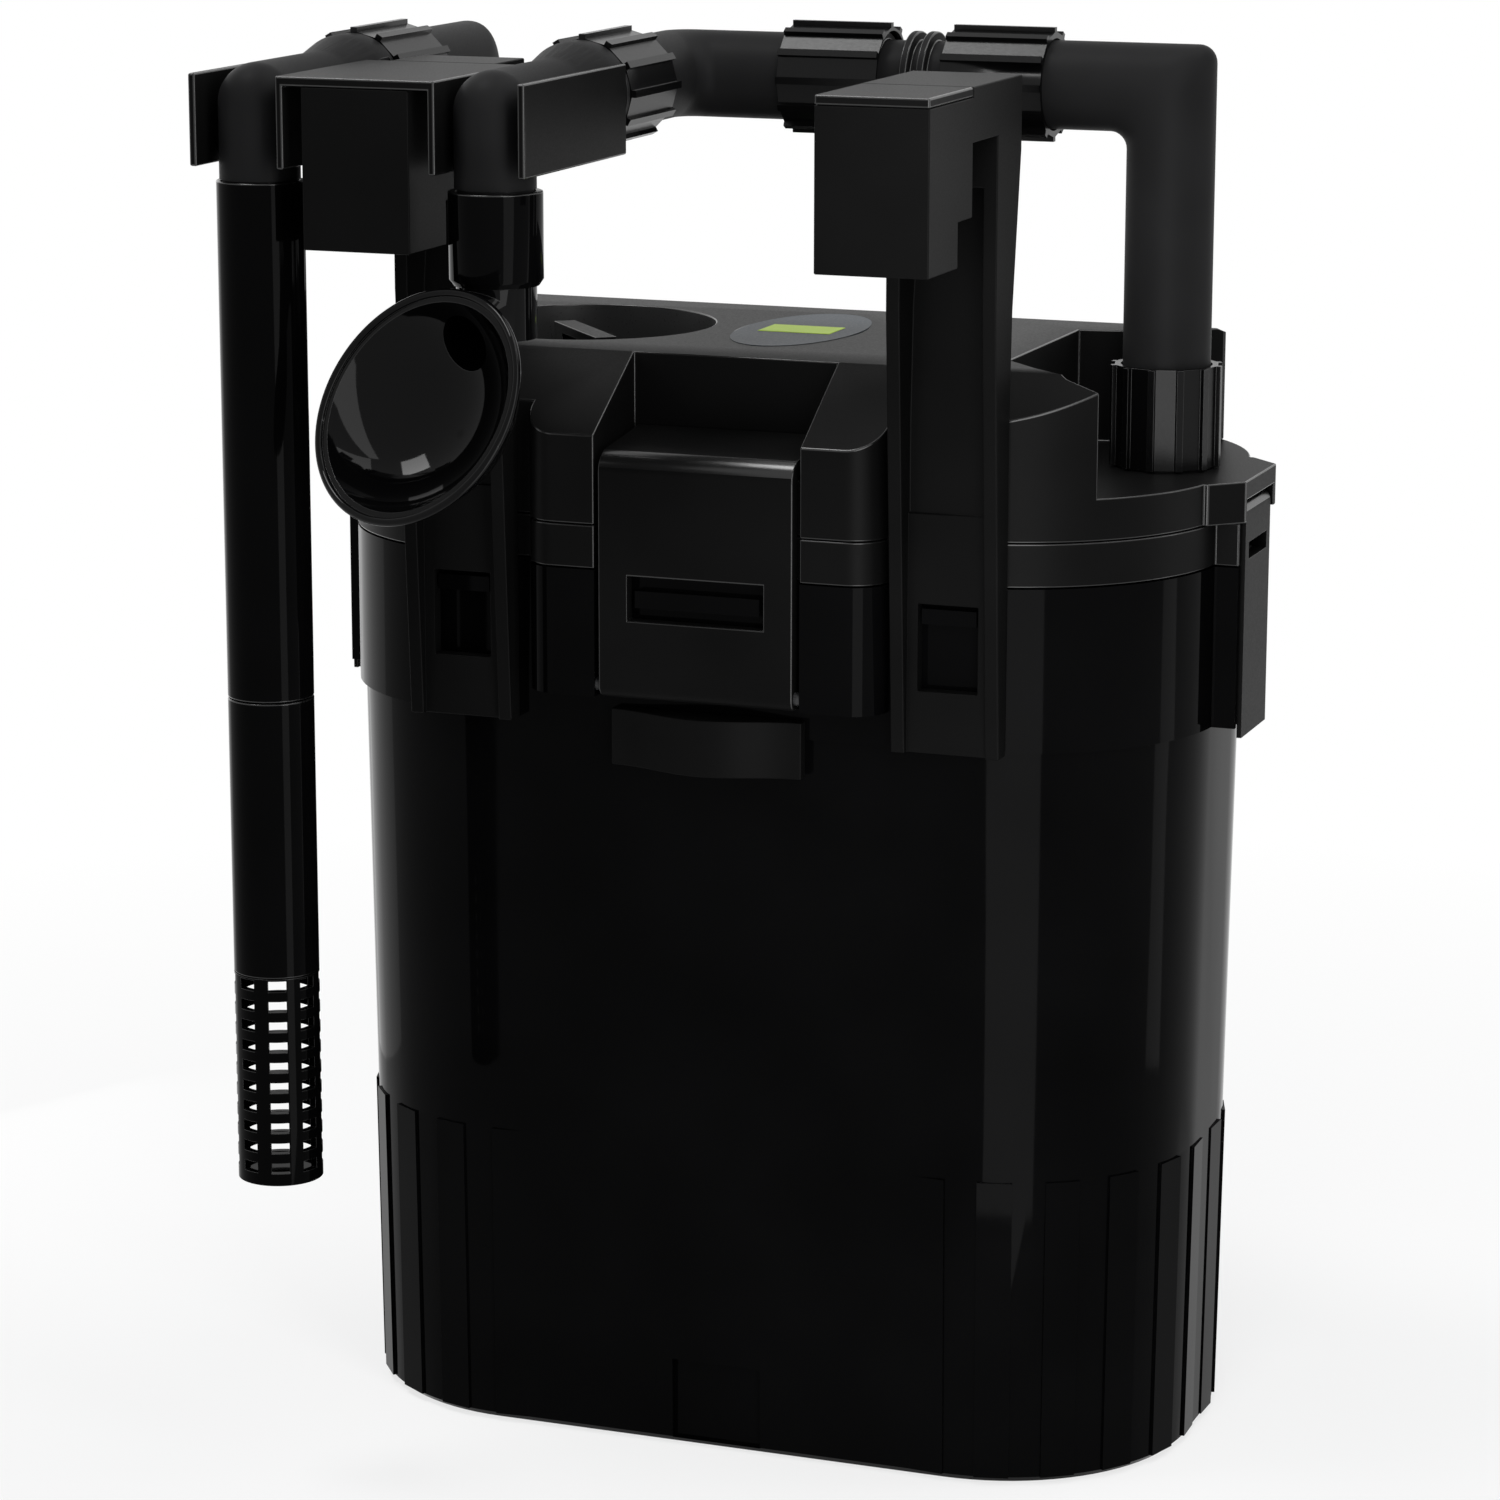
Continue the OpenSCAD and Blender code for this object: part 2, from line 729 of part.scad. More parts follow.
module head_cover() color([0.1, 0.1, 0.1]) {
  side_lip_room = 5.4;
  difference() {
    intersection() {
      translate([0, 0, cover_z]) linear_extrude(height = cover_h) {
        outline();
        bump_plan();
      }
      crown(0);
    }
    long_slots(cover_z - 1, cover_h + 5);
    side_slots(cover_z - 1, side_lip_z + side_lip_play - cover_z + 1);
    lip_room(0);
    left_and_right()
      translate([side_slot_x - side_lip_room, -side_slot_half, side_lip_z - lip_t - lip_play])
        cube([20, 2 * side_slot_half, lip_t + lip_play + side_lip_play]);
    cover_cavity();
    recess(recess_r, recess_z);
    knob_seat();
    right_pocket();
    left_pocket();
    for (x = [-intake_x, spigot_x]) translate([x, spigot_y, cover_z - 5])
      cylinder(r = thread_r + 0.4, h = 30);
    cord_gland();
    badge_shape(top_z - badge_deep - 0.05, 2, badge_play);
  }
}

module badge() color([0.38, 0.42, 0.5]) badge_shape(top_z - badge_deep, badge_t, 0);

// Cord ring of the skirt seal
module seal_ring() color([0.25, 0.25, 0.25]) {
  r = seal_t / 2;
  room = r + 0.05;
  straight_l = inner_l - 2 * inner_r;
  straight_d = inner_d - 2 * inner_r;
  c = inner_r - room;
  translate([0, 0, ring_z - skirt_h / 2]) {
    for (s = [-1, 1]) {
      rod_x(r, straight_l, s * (inner_d / 2 - room), 0);
      rod_y(r, straight_d, s * (inner_l / 2 - room), 0);
    }
    for (k = [0 : 3]) let (sx = k == 0 || k == 3 ? 1 : -1, sy = k < 2 ? 1 : -1)
      translate([sx * straight_l / 2, sy * straight_d / 2, 0]) rotate([0, 0, 90 * k])
        rotate_extrude(angle = 90) translate([c, 0]) circle(r = r);
  }
}

// Knob with a bar, hollow at one end, over the priming pump's stem
module priming_cap() color([0.1, 0.1, 0.1]) translate([-recess_x, 0, recess_z])
  difference() {
    union() {
      translate([0, 0, knob_gap]) cylinder(r = knob_r, h = knob_t);
      translate([0, 0, -stem_l]) cylinder(r = stem_r, h = stem_l + knob_gap + e);
      rotate([0, 0, -knob_turn]) translate([-bar_l / 2, -bar_w / 2, 1])
        cube([bar_l, bar_w, recess_deep - 1 - bar_low]);
    }
    rotate([0, 0, -knob_turn]) translate([-8, -bar_w, 3.6]) cube([9, 2 * bar_w, 4]);
  }

module cap_seal() color([0.5, 0.5, 0.5]) translate([-recess_x, 0, recess_z - 0.1])
  rotate_extrude() translate([cap_seal_ring, 0]) circle(r = cap_seal_r);

module motor_block() color([0.3, 0.3, 0.3]) pump_place() difference() {
  translate([0, 0, ring_z + motor_gap]) linear_extrude(height = motor_h)
    plan(motor_l, motor_d, 6);
  translate([0, 0, ring_z]) cylinder(r = well_r + 0.2, h = well_top - ring_z + 0.4);
}

module impeller_cover() color([0.14, 0.14, 0.14]) pump_place()
  translate([0, 0, chamber_z - 3]) difference() {
    cylinder(r = chamber_r, h = 2.9);
    for (a = [0 : 60 : 300]) rotate([0, 0, a]) translate([eye_place_r, 0, -1])
      cylinder(r = eye_r, h = 2 * chamber_wall);
    translate([0, 0, 1.2]) cylinder(r = 2.5, h = 3);
  }

module rotor_magnet() color([0.2, 0.2, 0.2]) pump_place()
  tube(magnet_r, shaft_r + shaft_play, ring_z - 1, well_top - ring_z - 3);

module impeller() color([0.85, 0.85, 0.8]) pump_place() difference() {
  union() {
    translate([0, 0, chamber_z + 1.5]) cylinder(r = hub_r, h = chamber_h - 2.6);
    for (a = [0 : 60 : 300]) rotate([0, 0, a]) translate([0, -vane_t / 2, chamber_z + 1.5])
      cube([vane_l, vane_t, vane_h]);
  }
  translate([0, 0, chamber_z - 1]) cylinder(r = shaft_r + shaft_play, h = 2 * chamber_h);
}

module shaft() color([0.93, 0.93, 0.9]) pump_place()
  translate([0, 0, chamber_z - 1.6]) cylinder(r = shaft_r, h = well_top - chamber_z - 0.2);

module bushings() color([0.12, 0.12, 0.12]) pump_place() {
  tube(2.4, shaft_r + 0.02, chamber_z - 1.7, 1.7);
  tube(2.6, shaft_r + 0.02, well_top - 3.2, 1.5);
}

// Clip that stands in front of the origin: barrel, plate, and lip over the head
module clip(face, width, foot_z, top, lip_back, lip_up, knee_r) {
  knee = [for (a = [180 : -15 : 90]) [knee_r * (1 + cos(a)) - face, top - knee_r * (1 - sin(a))]];
  rotate([90, 0, 90]) linear_extrude(height = width, center = true)
    polygon(concat([[-face, foot_z]], knee,
      [[-lip_back, top + lip_up], [-lip_back, top + lip_up - lip_t],
      [clip_t + lip_fillet - face, top - lip_t], [clip_t - face, top - lip_t - lip_fillet],
      [clip_t - face, foot_z]]));
  rod_x(barrel_r, width, barrel_r - face, foot_z);
}

module clip_holes(face, width, foot_z, half, low, h) {
  rod_x(pin_r + pin_run, width + 2, barrel_r - face, foot_z);
  translate([-half, -face - 1, low]) cube([2 * half, clip_t + 2, h]);
}

module long_clip() color([0.1, 0.1, 0.1]) difference() {
  clip(clip_face, clip_w, pin_z, lip_z, lip_end, lip_rise, knee_r);
  clip_holes(clip_face, clip_w, pin_z, window_half, window_z, window_h);
}

module short_clip() color([0.1, 0.1, 0.1]) difference() {
  union() {
    clip(side_face, side_clip_w, side_pin_z, side_lip_z, side_face - clip_t - side_lip_l, 0,
      side_knee_r);
    translate([-side_clip_w / 2, -side_face, side_pin_z - side_tail])
      cube([side_clip_w, side_tail_t, side_tail + 1]);
  }
  clip_holes(side_face, side_clip_w, side_pin_z, side_clip_w / 2 - 2.4, side_window_z, lip_t);
}

module front_clip() long_clip();
module rear_clip() rotate([0, 0, 180]) long_clip();
module left_clip() rotate([0, 0, -90]) short_clip();
module right_clip() rotate([0, 0, 90]) short_clip();

module clip_pins() color([0.6, 0.6, 0.62]) {
  front_and_back() rod_x(pin_r, clip_w + 2 * pin_over, barrel_r - clip_face, pin_z);
  left_and_right() rod_y(pin_r, side_pin_l, side_face - barrel_r, side_pin_z);
}

// Hook seen from the side, with the slot for the tank glass
module hook_side() {
  polygon([[hook_front, block_z], [hook_front, hook_top], [post_top_back, hook_top],
    [post_top_back, shoulder_z], [post_back + 1, knee_z], [post_back, ankle_z],
    [post_back, can_h], [rail_front, can_h], [post_front, knee_z], [post_front, bridge_z],
    [glass_front, bridge_z], [glass_front, step_z], [step_back, step_z], [step_back, block_z]]);
}

// Open channel of the post, seen from the side
module channel_side() {
  web = post_back - web_t;
  polygon([[post_front - 3, can_h - 1], [web - web_step, can_h - 1], [web - web_step, web_step_z],
    [web, web_step_z], [web, ankle_z], [web + 1, knee_z],
    [post_top_back - web_t - 1, channel_z], [post_front - 3, channel_z]]);
}

module hook(x, cap_l) color([0.1, 0.1, 0.1]) translate([x, 0, 0]) difference() {
  rotate([90, 0, 90]) linear_extrude(height = hook_w, center = true) hook_side();
  rotate([90, 0, 90]) linear_extrude(height = 2 * channel_half, center = true) channel_side();
  translate([-hatch_half, post_back - 10, hatch_z]) cube([2 * hatch_half, 20, hatch_h]);
  translate([-hook_w, hook_front - 1, hook_top - cap_t]) cube([2 * hook_w, cap_l + 1, cap_t + 1]);
}

module left_hook() hook(-left_x, block_l + glass_gap);
module right_hook() hook(right_x, block_l);

module hook_cap() color([0.1, 0.1, 0.1])
  translate([right_x - hook_w / 2, hook_front, hook_top - cap_t + 0.05])
    cube([hook_w, block_l - seat, cap_t - 0.05]);

// Saddle that holds both pipes beside the left hook
module pipe_saddle() color([0.1, 0.1, 0.1]) {
  floor_z = run_z - elbow_r - saddle_floor_gap - saddle_floor_t;
  inner_wall_l = saddle_l - flare_room;
  wall_h = hook_top - floor_z;
  in_left = elbow_r + saddle_gap - intake_x;
  in_right = -outlet_x - elbow_r - saddle_gap;
  out_left = -intake_x - elbow_r - saddle_play;
  out_right = elbow_r + saddle_play - outlet_x;
  floor_y = elbow_r + 0.6 - tank_y;
  translate([in_left, hook_front, hook_top - cap_t + 0.05])
    cube([in_right - in_left, block_l + glass_gap - seat, cap_t - 0.05]);
  for (x = [in_left, in_right - saddle_wall]) translate([x, hook_front, floor_z])
    cube([saddle_wall, inner_wall_l, wall_h]);
  for (x = [out_left - saddle_wall, out_right]) translate([x, hook_front, floor_z])
    cube([saddle_wall, saddle_l, wall_h]);
  for (x = [out_left - e, in_right - e]) translate([x, floor_y, floor_z])
    cube([in_left - out_left + 2 * e, hook_front + inner_wall_l - floor_y, saddle_floor_t]);
}

module strainer() color([0.03, 0.03, 0.035]) translate([-intake_x, -tank_y, 0]) {
  pitch = (strainer_l - slot_low - slot_top - slot_h) / (slot_rows - 1);
  bar_share = 0.45;
  slot_w = 2 * pipe_r * sin(180 / slot_bars * (1 - bar_share));
  first_bar = 26;
  difference() {
    union() {
      translate([0, 0, strainer_z]) cylinder(r = pipe_r, h = strainer_l);
      translate([0, 0, strainer_z + strainer_l - e]) cylinder(r = plug_r, h = 6);
    }
    translate([0, 0, strainer_z + 1.6])
      cylinder(r = pipe_r - strainer_wall, h = strainer_l - 1.8);
    translate([0, 0, strainer_z + 3]) cylinder(r = plug_r - 1.1, h = strainer_l + 10);
    for (row = [0 : slot_rows - 1], a = [0 : 360 / slot_bars : 179])
      rotate([0, 0, a + first_bar])
        translate([-20, -slot_w / 2, strainer_z + slot_low + row * pitch])
          cube([40, slot_w, slot_h]);
  }
}

module lower_pipe() color([0.03, 0.03, 0.035]) translate([-intake_x, -tank_y, 0])
  tube(pipe_r, pipe_r - pipe_wall, strainer_z + strainer_l + 0.1,
    joint_z - strainer_z - strainer_l - 0.3);

module upper_pipe() color([0.03, 0.03, 0.035]) translate([-intake_x, -tank_y, 0]) {
  tube(pipe_r, pipe_r - pipe_wall, joint_z, socket_top - joint_z);
  tube(plug_r, plug_r - 1.1, joint_z - spigot_l, spigot_l + e);
  tube(pipe_r - 0.5, plug_r - 1.1, joint_z, 4);
}

// Pipe with a corner: one leg down, one leg along +Y
module leg_pair(r, down, along) {
  translate([0, 0, -down]) cylinder(r = r, h = down);
  rotate([-90, 0, 0]) cylinder(r = r, h = along);
  sphere(r = r);
}

// Elbow in the tank, from the upright pipe to the front of a union nut
module tank_elbow(x) color([0.2, 0.2, 0.2]) translate([x, -tank_y, run_z]) difference() {
  reach = union_front + tank_y - face_gap;
  flat = elbow_r + 0.6;
  shoulder_y = reach - shoulder_l;
  union() {
    leg_pair(elbow_r, elbow_drop - end_gap, shoulder_y - flare_l + e);
    translate([0, 0, -elbow_drop - spigot_l]) cylinder(r = plug_r, h = spigot_l + 2);
    translate([0, shoulder_y - flare_l, 0]) rotate([-90, 0, 0])
      cylinder(r1 = elbow_r, r2 = root_r, h = flare_l);
    translate([0, shoulder_y, 0]) rotate([-90, 0, 0]) cylinder(r = root_r, h = shoulder_l);
    translate([0, reach - e, 0]) rotate([-90, 0, 0]) cylinder(r = thread_r, h = grip + face_gap);
  }
  leg_pair(bore_r, elbow_drop + spigot_l + 1, reach + grip + 1);
  for (s = [flat, -flat - 10]) translate([s, 0, -20])
    cube([10, hook_front + saddle_l + 0.4 + tank_y, 40]);
}

module intake_elbow() tank_elbow(-intake_x);
module outlet_elbow() tank_elbow(-outlet_x);

// Union nut along +Z: the thread side at 0, the pipe side at the top
module union_nut(l) color([0.05, 0.05, 0.055]) {
  corner_r = root_r / cos(180 / teeth);
  difference() {
    union() {
      linear_extrude(height = l)
        polygon([for (k = [0 : teeth - 1]) corner_r * [cos(k * 360 / teeth), sin(k * 360 / teeth)]]);
      for (k = [0 : teeth - 1]) rotate([0, 0, k * 360 / teeth])
        translate([root_r - 0.4, -tooth_w / 2, 0]) cube([nut_r - root_r + 0.4, tooth_w, l]);
    }
    translate([0, 0, -1]) cylinder(r = nut_bore, h = l + 1 - nut_lip_t);
    translate([0, 0, -1]) cylinder(r = rear_r + nut_gap, h = l + 2);
  }
}

module intake_union_nut()
  translate([-intake_x, union_front, run_z]) rotate([-90, 0, 0]) union_nut(nut_l);
module outlet_union_nut()
  translate([-outlet_x, union_front, run_z]) rotate([-90, 0, 0]) union_nut(nut_l);
module inlet_nut() translate([-intake_x, spigot_y, ledge_nut_z]) union_nut(ledge_nut_l);
module outlet_nut() translate([spigot_x, spigot_y, ledge_nut_z]) union_nut(ledge_nut_l);
module run_nut_a()
  translate([nut_a_x, spigot_y, run_z]) rotate([0, -90, 0]) union_nut(run_nut_l);
module run_nut_b()
  translate([nut_b_x, spigot_y, run_z]) rotate([0, 90, 0]) union_nut(run_nut_l);

// Half of a mitred corner: a leg along -Z, cut off in the plane X = Z
module mitred_leg(l) {
  intersection() {
    translate([0, 0, -l]) cylinder(r = rear_r, h = l + 2 * rear_r);
    rotate([90, 0, 0]) linear_extrude(height = 4 * rear_r, center = true)
      polygon([[-2 * rear_r, -l - 1], [2 * rear_r, -l - 1], [2 * rear_r, 2 * rear_r],
        [-2 * rear_r, -2 * rear_r]]);
  }
}

// Mitred corner of a rear pipe: one leg along -Z, one along -X, with flanged ends
module mitred_pipe(down, along) {
  difference() {
    union() {
      mitred_leg(down);
      mirror([1, 0, -1]) mitred_leg(along);
      translate([0, 0, -down]) cylinder(r = thread_r, h = flange_w);
      translate([-along, 0, 0]) rotate([0, 90, 0]) cylinder(r = thread_r, h = flange_w);
    }
    translate([0, 0, -down - 1]) cylinder(r = bore_r, h = down + 1);
    translate([-along - 1, 0, 0]) rotate([0, 90, 0]) cylinder(r = bore_r, h = along + 1);
    sphere(r = bore_r);
  }
}

module intake_rear_elbow() color([0.2, 0.2, 0.2])
  translate([-intake_x, spigot_y, run_z]) rotate([0, 0, 90])
    mitred_pipe(run_z - thread_z - end_gap, spigot_y - union_front - grip - end_gap);

module outlet_rear_elbow() color([0.2, 0.2, 0.2])
  translate([spigot_x, spigot_y, run_z])
    mitred_pipe(run_z - thread_z - end_gap, spigot_x - nut_b_x - grip - end_gap);

module corner_elbow() color([0.2, 0.2, 0.2])
  translate([-outlet_x, spigot_y, run_z]) rotate([0, 0, 90]) rotate([-90, 0, 0])
    mitred_pipe(nut_a_x - grip - end_gap + outlet_x, spigot_y - union_front - grip - end_gap);

// Sleeve between the two nuts of the run, with two round collars
module coupling() color([0.16, 0.16, 0.16])
  translate([coupling_x, spigot_y, run_z]) rotate([0, 90, 0]) difference() {
    union() {
      cylinder(r = sleeve_r, h = coupling_gap + 2 * grip, center = true);
      for (z = [-1.3, 2.2]) translate([0, 0, z]) cylinder(r = ring_r, h = 1.6, center = true);
      for (s = [0, 1]) mirror([0, 0, s]) translate([0, 0, coupling_gap / 2 + 1])
        cylinder(r = thread_r, h = grip - 1);
    }
    cylinder(r = bore_r, h = 60, center = true);
  }

module outlet_socket() color([0.03, 0.03, 0.035])
  translate([-outlet_x, -tank_y, socket_z]) difference() {
    foot = 1.5;
    union() {
      translate([0, 0, foot]) cylinder(r = socket_r, h = socket_l - foot - end_gap);
      cylinder(r1 = socket_r - 1, r2 = socket_r, h = foot);
    }
    translate([0, 0, -1]) cylinder(r = neck_r + neck_play, h = neck_up + 2);
    translate([0, 0, -1]) cylinder(r = pipe_r - pipe_wall, h = 40);
  }

// Upright neck down to z = -low, and the side pipe that carries the bowl
module neck(r, side_r, low, l) {
  translate([0, 0, -low]) cylinder(r = r, h = low + neck_up);
  translate([0, 0, -neck_drop]) rotate([0, 90 + neck_dip, 0]) cylinder(r = side_r, h = l);
}

module scoop_place() translate([scoop_reach, 0, -scoop_drop])
  rotate([0, 90 - scoop_tilt, 0]) children();

module bowl_ball(r) scoop_place() translate([0, 0, ball_r - scoop_deep]) sphere(r = r);

// Round scoop on a short bent neck; it swivels in the socket
module scoop_nozzle() color([0.03, 0.03, 0.035])
  translate([-outlet_x, -tank_y, socket_z]) rotate([0, 0, -90 - scoop_turn]) difference() {
    union() {
      neck(neck_r, neck_r - 0.6, neck_low, 18);
      intersection() {
        bowl_ball(ball_r);
        scoop_place() translate([0, 0, -scoop_deep - 1]) cylinder(r = scoop_r + 2, h = scoop_deep + 1);
      }
      scoop_place() rotate_extrude() translate([scoop_r + 0.1, 0]) circle(r = rim_r, $fn = 32);
    }
    bowl_ball(ball_r - scoop_wall);
    neck(bore_r, bore_r - 0.4, 6.5, 22);
  }

canister_body();
spacer_plate();
inlet_downpipe();
lower_basket();
upper_basket();
coarse_sponge();
fine_pad();
head_base();
head_cover();
seal_ring();
badge();
priming_cap();
cap_seal();
motor_block();
impeller_cover();
rotor_magnet();
impeller();
shaft();
bushings();
front_clip();
rear_clip();
left_clip();
right_clip();
clip_pins();
left_hook();
right_hook();
hook_cap();
pipe_saddle();
strainer();
lower_pipe();
upper_pipe();
intake_elbow();
intake_union_nut();
intake_rear_elbow();
inlet_nut();
outlet_nut();
outlet_rear_elbow();
run_nut_b();
coupling();
run_nut_a();
corner_elbow();
outlet_union_nut();
outlet_elbow();
outlet_socket();
scoop_nozzle();
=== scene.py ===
"""Looks of a hang-on canister filter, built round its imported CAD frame.

Laid out as a Blender add-on: a property group holds sizes and colours, one operator makes each
piece or group of like pieces, and a panel in the sidebar lists them. Run as a script.
"""

import json
import math

import bmesh
import bpy
from mathutils import Matrix, Vector

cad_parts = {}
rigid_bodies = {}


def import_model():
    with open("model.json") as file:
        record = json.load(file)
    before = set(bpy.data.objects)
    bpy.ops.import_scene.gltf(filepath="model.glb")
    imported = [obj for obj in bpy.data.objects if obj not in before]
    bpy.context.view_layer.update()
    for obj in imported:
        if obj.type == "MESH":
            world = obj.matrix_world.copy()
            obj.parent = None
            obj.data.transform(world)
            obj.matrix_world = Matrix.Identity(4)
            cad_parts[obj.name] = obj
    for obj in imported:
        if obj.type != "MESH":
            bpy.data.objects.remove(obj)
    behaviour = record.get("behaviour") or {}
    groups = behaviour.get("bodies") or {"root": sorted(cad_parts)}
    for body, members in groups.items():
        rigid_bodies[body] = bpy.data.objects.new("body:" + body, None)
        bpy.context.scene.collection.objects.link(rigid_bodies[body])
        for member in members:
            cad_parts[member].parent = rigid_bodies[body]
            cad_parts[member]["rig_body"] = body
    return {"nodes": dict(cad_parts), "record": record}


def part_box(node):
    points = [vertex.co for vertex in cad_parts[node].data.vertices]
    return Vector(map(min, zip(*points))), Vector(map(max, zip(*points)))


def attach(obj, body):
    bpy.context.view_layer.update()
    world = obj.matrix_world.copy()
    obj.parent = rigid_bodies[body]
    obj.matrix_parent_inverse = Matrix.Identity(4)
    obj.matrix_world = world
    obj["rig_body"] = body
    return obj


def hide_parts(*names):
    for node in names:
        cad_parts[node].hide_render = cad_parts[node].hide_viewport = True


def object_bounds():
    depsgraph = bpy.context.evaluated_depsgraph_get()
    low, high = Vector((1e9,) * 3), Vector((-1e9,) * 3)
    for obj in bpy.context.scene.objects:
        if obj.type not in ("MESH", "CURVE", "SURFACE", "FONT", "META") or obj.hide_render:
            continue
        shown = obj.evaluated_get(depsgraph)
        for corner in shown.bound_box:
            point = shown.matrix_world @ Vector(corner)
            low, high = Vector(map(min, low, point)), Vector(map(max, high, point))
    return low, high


bl_info = {
    "name": "Canister filter looks",
    "version": (1, 0, 0),
    "blender": (4, 5, 0),
    "location": "3D View > Sidebar > Filter",
    "description": "Builds the visible pieces of a hang-on canister filter on its CAD frame",
    "category": "Object",
}

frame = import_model()
NODES = frame["nodes"]
CAD_LOW, CAD_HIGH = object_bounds()
MM = 0.001

# Upward share of the face normals on the sloped knee of a clip, whose faces get the painted edge
# highlight.
KNEE_LOW = 0.25
KNEE_HIGH = 0.97

# Depth of the grain on moulded plastic, and of the flow waves on polished plastic.
GRAIN_DEPTH = 0.04 * MM
WAVE_DEPTH = 0.25 * MM

# Badge: depth of its sunk face, height of its stripe, the stripe's share of its length and width,
# and how near a face has to be to the sunk height and to level to belong to the sunk face.
BADGE_SINK = 0.15 * MM
STRIPE_RISE = 0.1 * MM
STRIPE_LENGTH = 0.62
STRIPE_WIDTH = 0.2
SAME_LEVEL = 0.001 * MM
LEVEL_FACE = 0.99

# Gap under the filter, which keeps its foot off the floor's own plane.
FLOOR_GAP = 0.5 * MM

# Lamps: name, place, aim, width and height, power in watts.
LAMPS = (
    ("TopLamp", (-0.56, -0.26, 1.7), (0, 0, 0.2), (0.5, 0.5), 11),
    ("BackLamp", (0.5, 0.3, 1.7), (0, 0, 0.2), (0.8, 0.8), 7),
    ("FrontPanel", (0.108, -0.18, 0.452), (0.05, -0.05, 0.452), (0.085, 0.895), 0.9),
    ("LeftPanel", (-0.27, 0.07, 0.452), (-0.08, -0.02, 0.452), (0.17, 0.895), 0.3),
    ("RightPanel", (0.32, 0.06, 0.452), (0.08, -0.02, 0.452), (0.05, 0.895), 0.25),
)

# Camera: place in metres, then turn to the side, tilt down and roll in degrees.
CAMERA_PLACE = (0.33016, -0.91283, 0.35611)
CAMERA_TURN = 20.47
CAMERA_TILT = 12.79
CAMERA_ROLL = 0.08


class FilterSizes(bpy.types.PropertyGroup):
    """Sizes that a maker would change."""

    body_round: bpy.props.FloatProperty(
        name="Body rounding", description="Edges of the canister, clips, knob, hook cap and saddle",
        default=0.4 * MM, min=0.1 * MM, max=1 * MM, unit="LENGTH")
    head_round: bpy.props.FloatProperty(
        name="Head rounding", description="Edges of the head's base and cover",
        default=0.28 * MM, min=0.1 * MM, max=1 * MM, unit="LENGTH")
    hook_round: bpy.props.FloatProperty(
        name="Hook rounding", description="Edges of both hooks",
        default=0.5 * MM, min=0.1 * MM, max=1 * MM, unit="LENGTH")
    pipe_round: bpy.props.FloatProperty(
        name="Pipe rounding", description="Edges of the pipes, the scoop and the spacer plate",
        default=0.3 * MM, min=0.1 * MM, max=1 * MM, unit="LENGTH")
    nut_round: bpy.props.FloatProperty(
        name="Nut rounding", description="Edges of the union nuts",
        default=0.25 * MM, min=0.1 * MM, max=1 * MM, unit="LENGTH")
    bend_round: bpy.props.FloatProperty(
        name="Bend rounding", description="Rounding on the mitred bends of the rear pipes",
        default=3.4 * MM, min=0.5 * MM, max=6 * MM, unit="LENGTH")
    flange_step: bpy.props.FloatProperty(
        name="Flange step", description="How far a pipe's end flange stands out from the pipe",
        default=0.55 * MM, min=0.2 * MM, max=1 * MM, unit="LENGTH")
    flange_width: bpy.props.FloatProperty(
        name="Flange width", description="Width of a pipe's end flange",
        default=2 * MM, min=1 * MM, max=4 * MM, unit="LENGTH")
    recess_reach: bpy.props.FloatProperty(
        name="Recess reach", description="From the priming knob's axis to the outside of its recess",
        default=27.6 * MM, min=15 * MM, max=35 * MM, unit="LENGTH")
    badge_rim: bpy.props.FloatProperty(
        name="Badge rim", description="Width of the badge's raised rim",
        default=0.8 * MM, min=0.2 * MM, max=2 * MM, unit="LENGTH")
    camera_lens: bpy.props.FloatProperty(
        name="Camera lens", description="Focal length of the camera in millimetres",
        default=115.62, min=20, max=300)
    floor_half: bpy.props.FloatProperty(
        name="Floor half size", description="Half of the floor's side",
        default=3.0, min=1.0, max=10.0, unit="LENGTH")


class FilterColours(bpy.types.PropertyGroup):
    """Colours of the finishes."""

    gloss_black: bpy.props.FloatVectorProperty(
        name="Polished black", description="Canister, pipe and scoop",
        subtype="COLOR", size=3, default=(0.0013, 0.0013, 0.0014), min=0, max=1)
    satin_black: bpy.props.FloatVectorProperty(
        name="Satin black", description="Head, clips and hooks",
        subtype="COLOR", size=3, default=(0.003, 0.003, 0.003), min=0, max=1)
    pipe_grey: bpy.props.FloatVectorProperty(
        name="Matt grey", description="Elbows and rear pipes",
        subtype="COLOR", size=3, default=(0.0115, 0.0115, 0.0118), min=0, max=1)
    nut_black: bpy.props.FloatVectorProperty(
        name="Nut black", description="Union nuts",
        subtype="COLOR", size=3, default=(0.0015, 0.0015, 0.0016), min=0, max=1)
    # Painted highlight: a lighter black with a shinier finish, put on rounded edges and clips' knees
    # to paint bright highlight lines.
    edge_highlight_black: bpy.props.FloatVectorProperty(
        name="Edge highlight black", description="Lighter, shinier finish that paints highlights on the rounded edges and the clips' knees",
        subtype="COLOR", size=3, default=(0.006, 0.006, 0.006), min=0, max=1)
    # Painted reflection: a lighter grey on the recess round the priming knob, standing in for the
    # sheen of the recess's walls.
    recess_reflection_grey: bpy.props.FloatVectorProperty(
        name="Recess reflection grey", description="Lighter grey that paints a reflection in the recess round the priming knob",
        subtype="COLOR", size=3, default=(0.035, 0.035, 0.035), min=0, max=1)
    badge_grey: bpy.props.FloatVectorProperty(
        name="Badge grey", description="Ground of the plain badge",
        subtype="COLOR", size=3, default=(0.05, 0.058, 0.066), min=0, max=1)
    badge_lime: bpy.props.FloatVectorProperty(
        name="Badge lime", description="Stripe on the plain badge",
        subtype="COLOR", size=3, default=(0.5, 0.7, 0.08), min=0, max=1)


# ---------------------------------------------------------------- materials


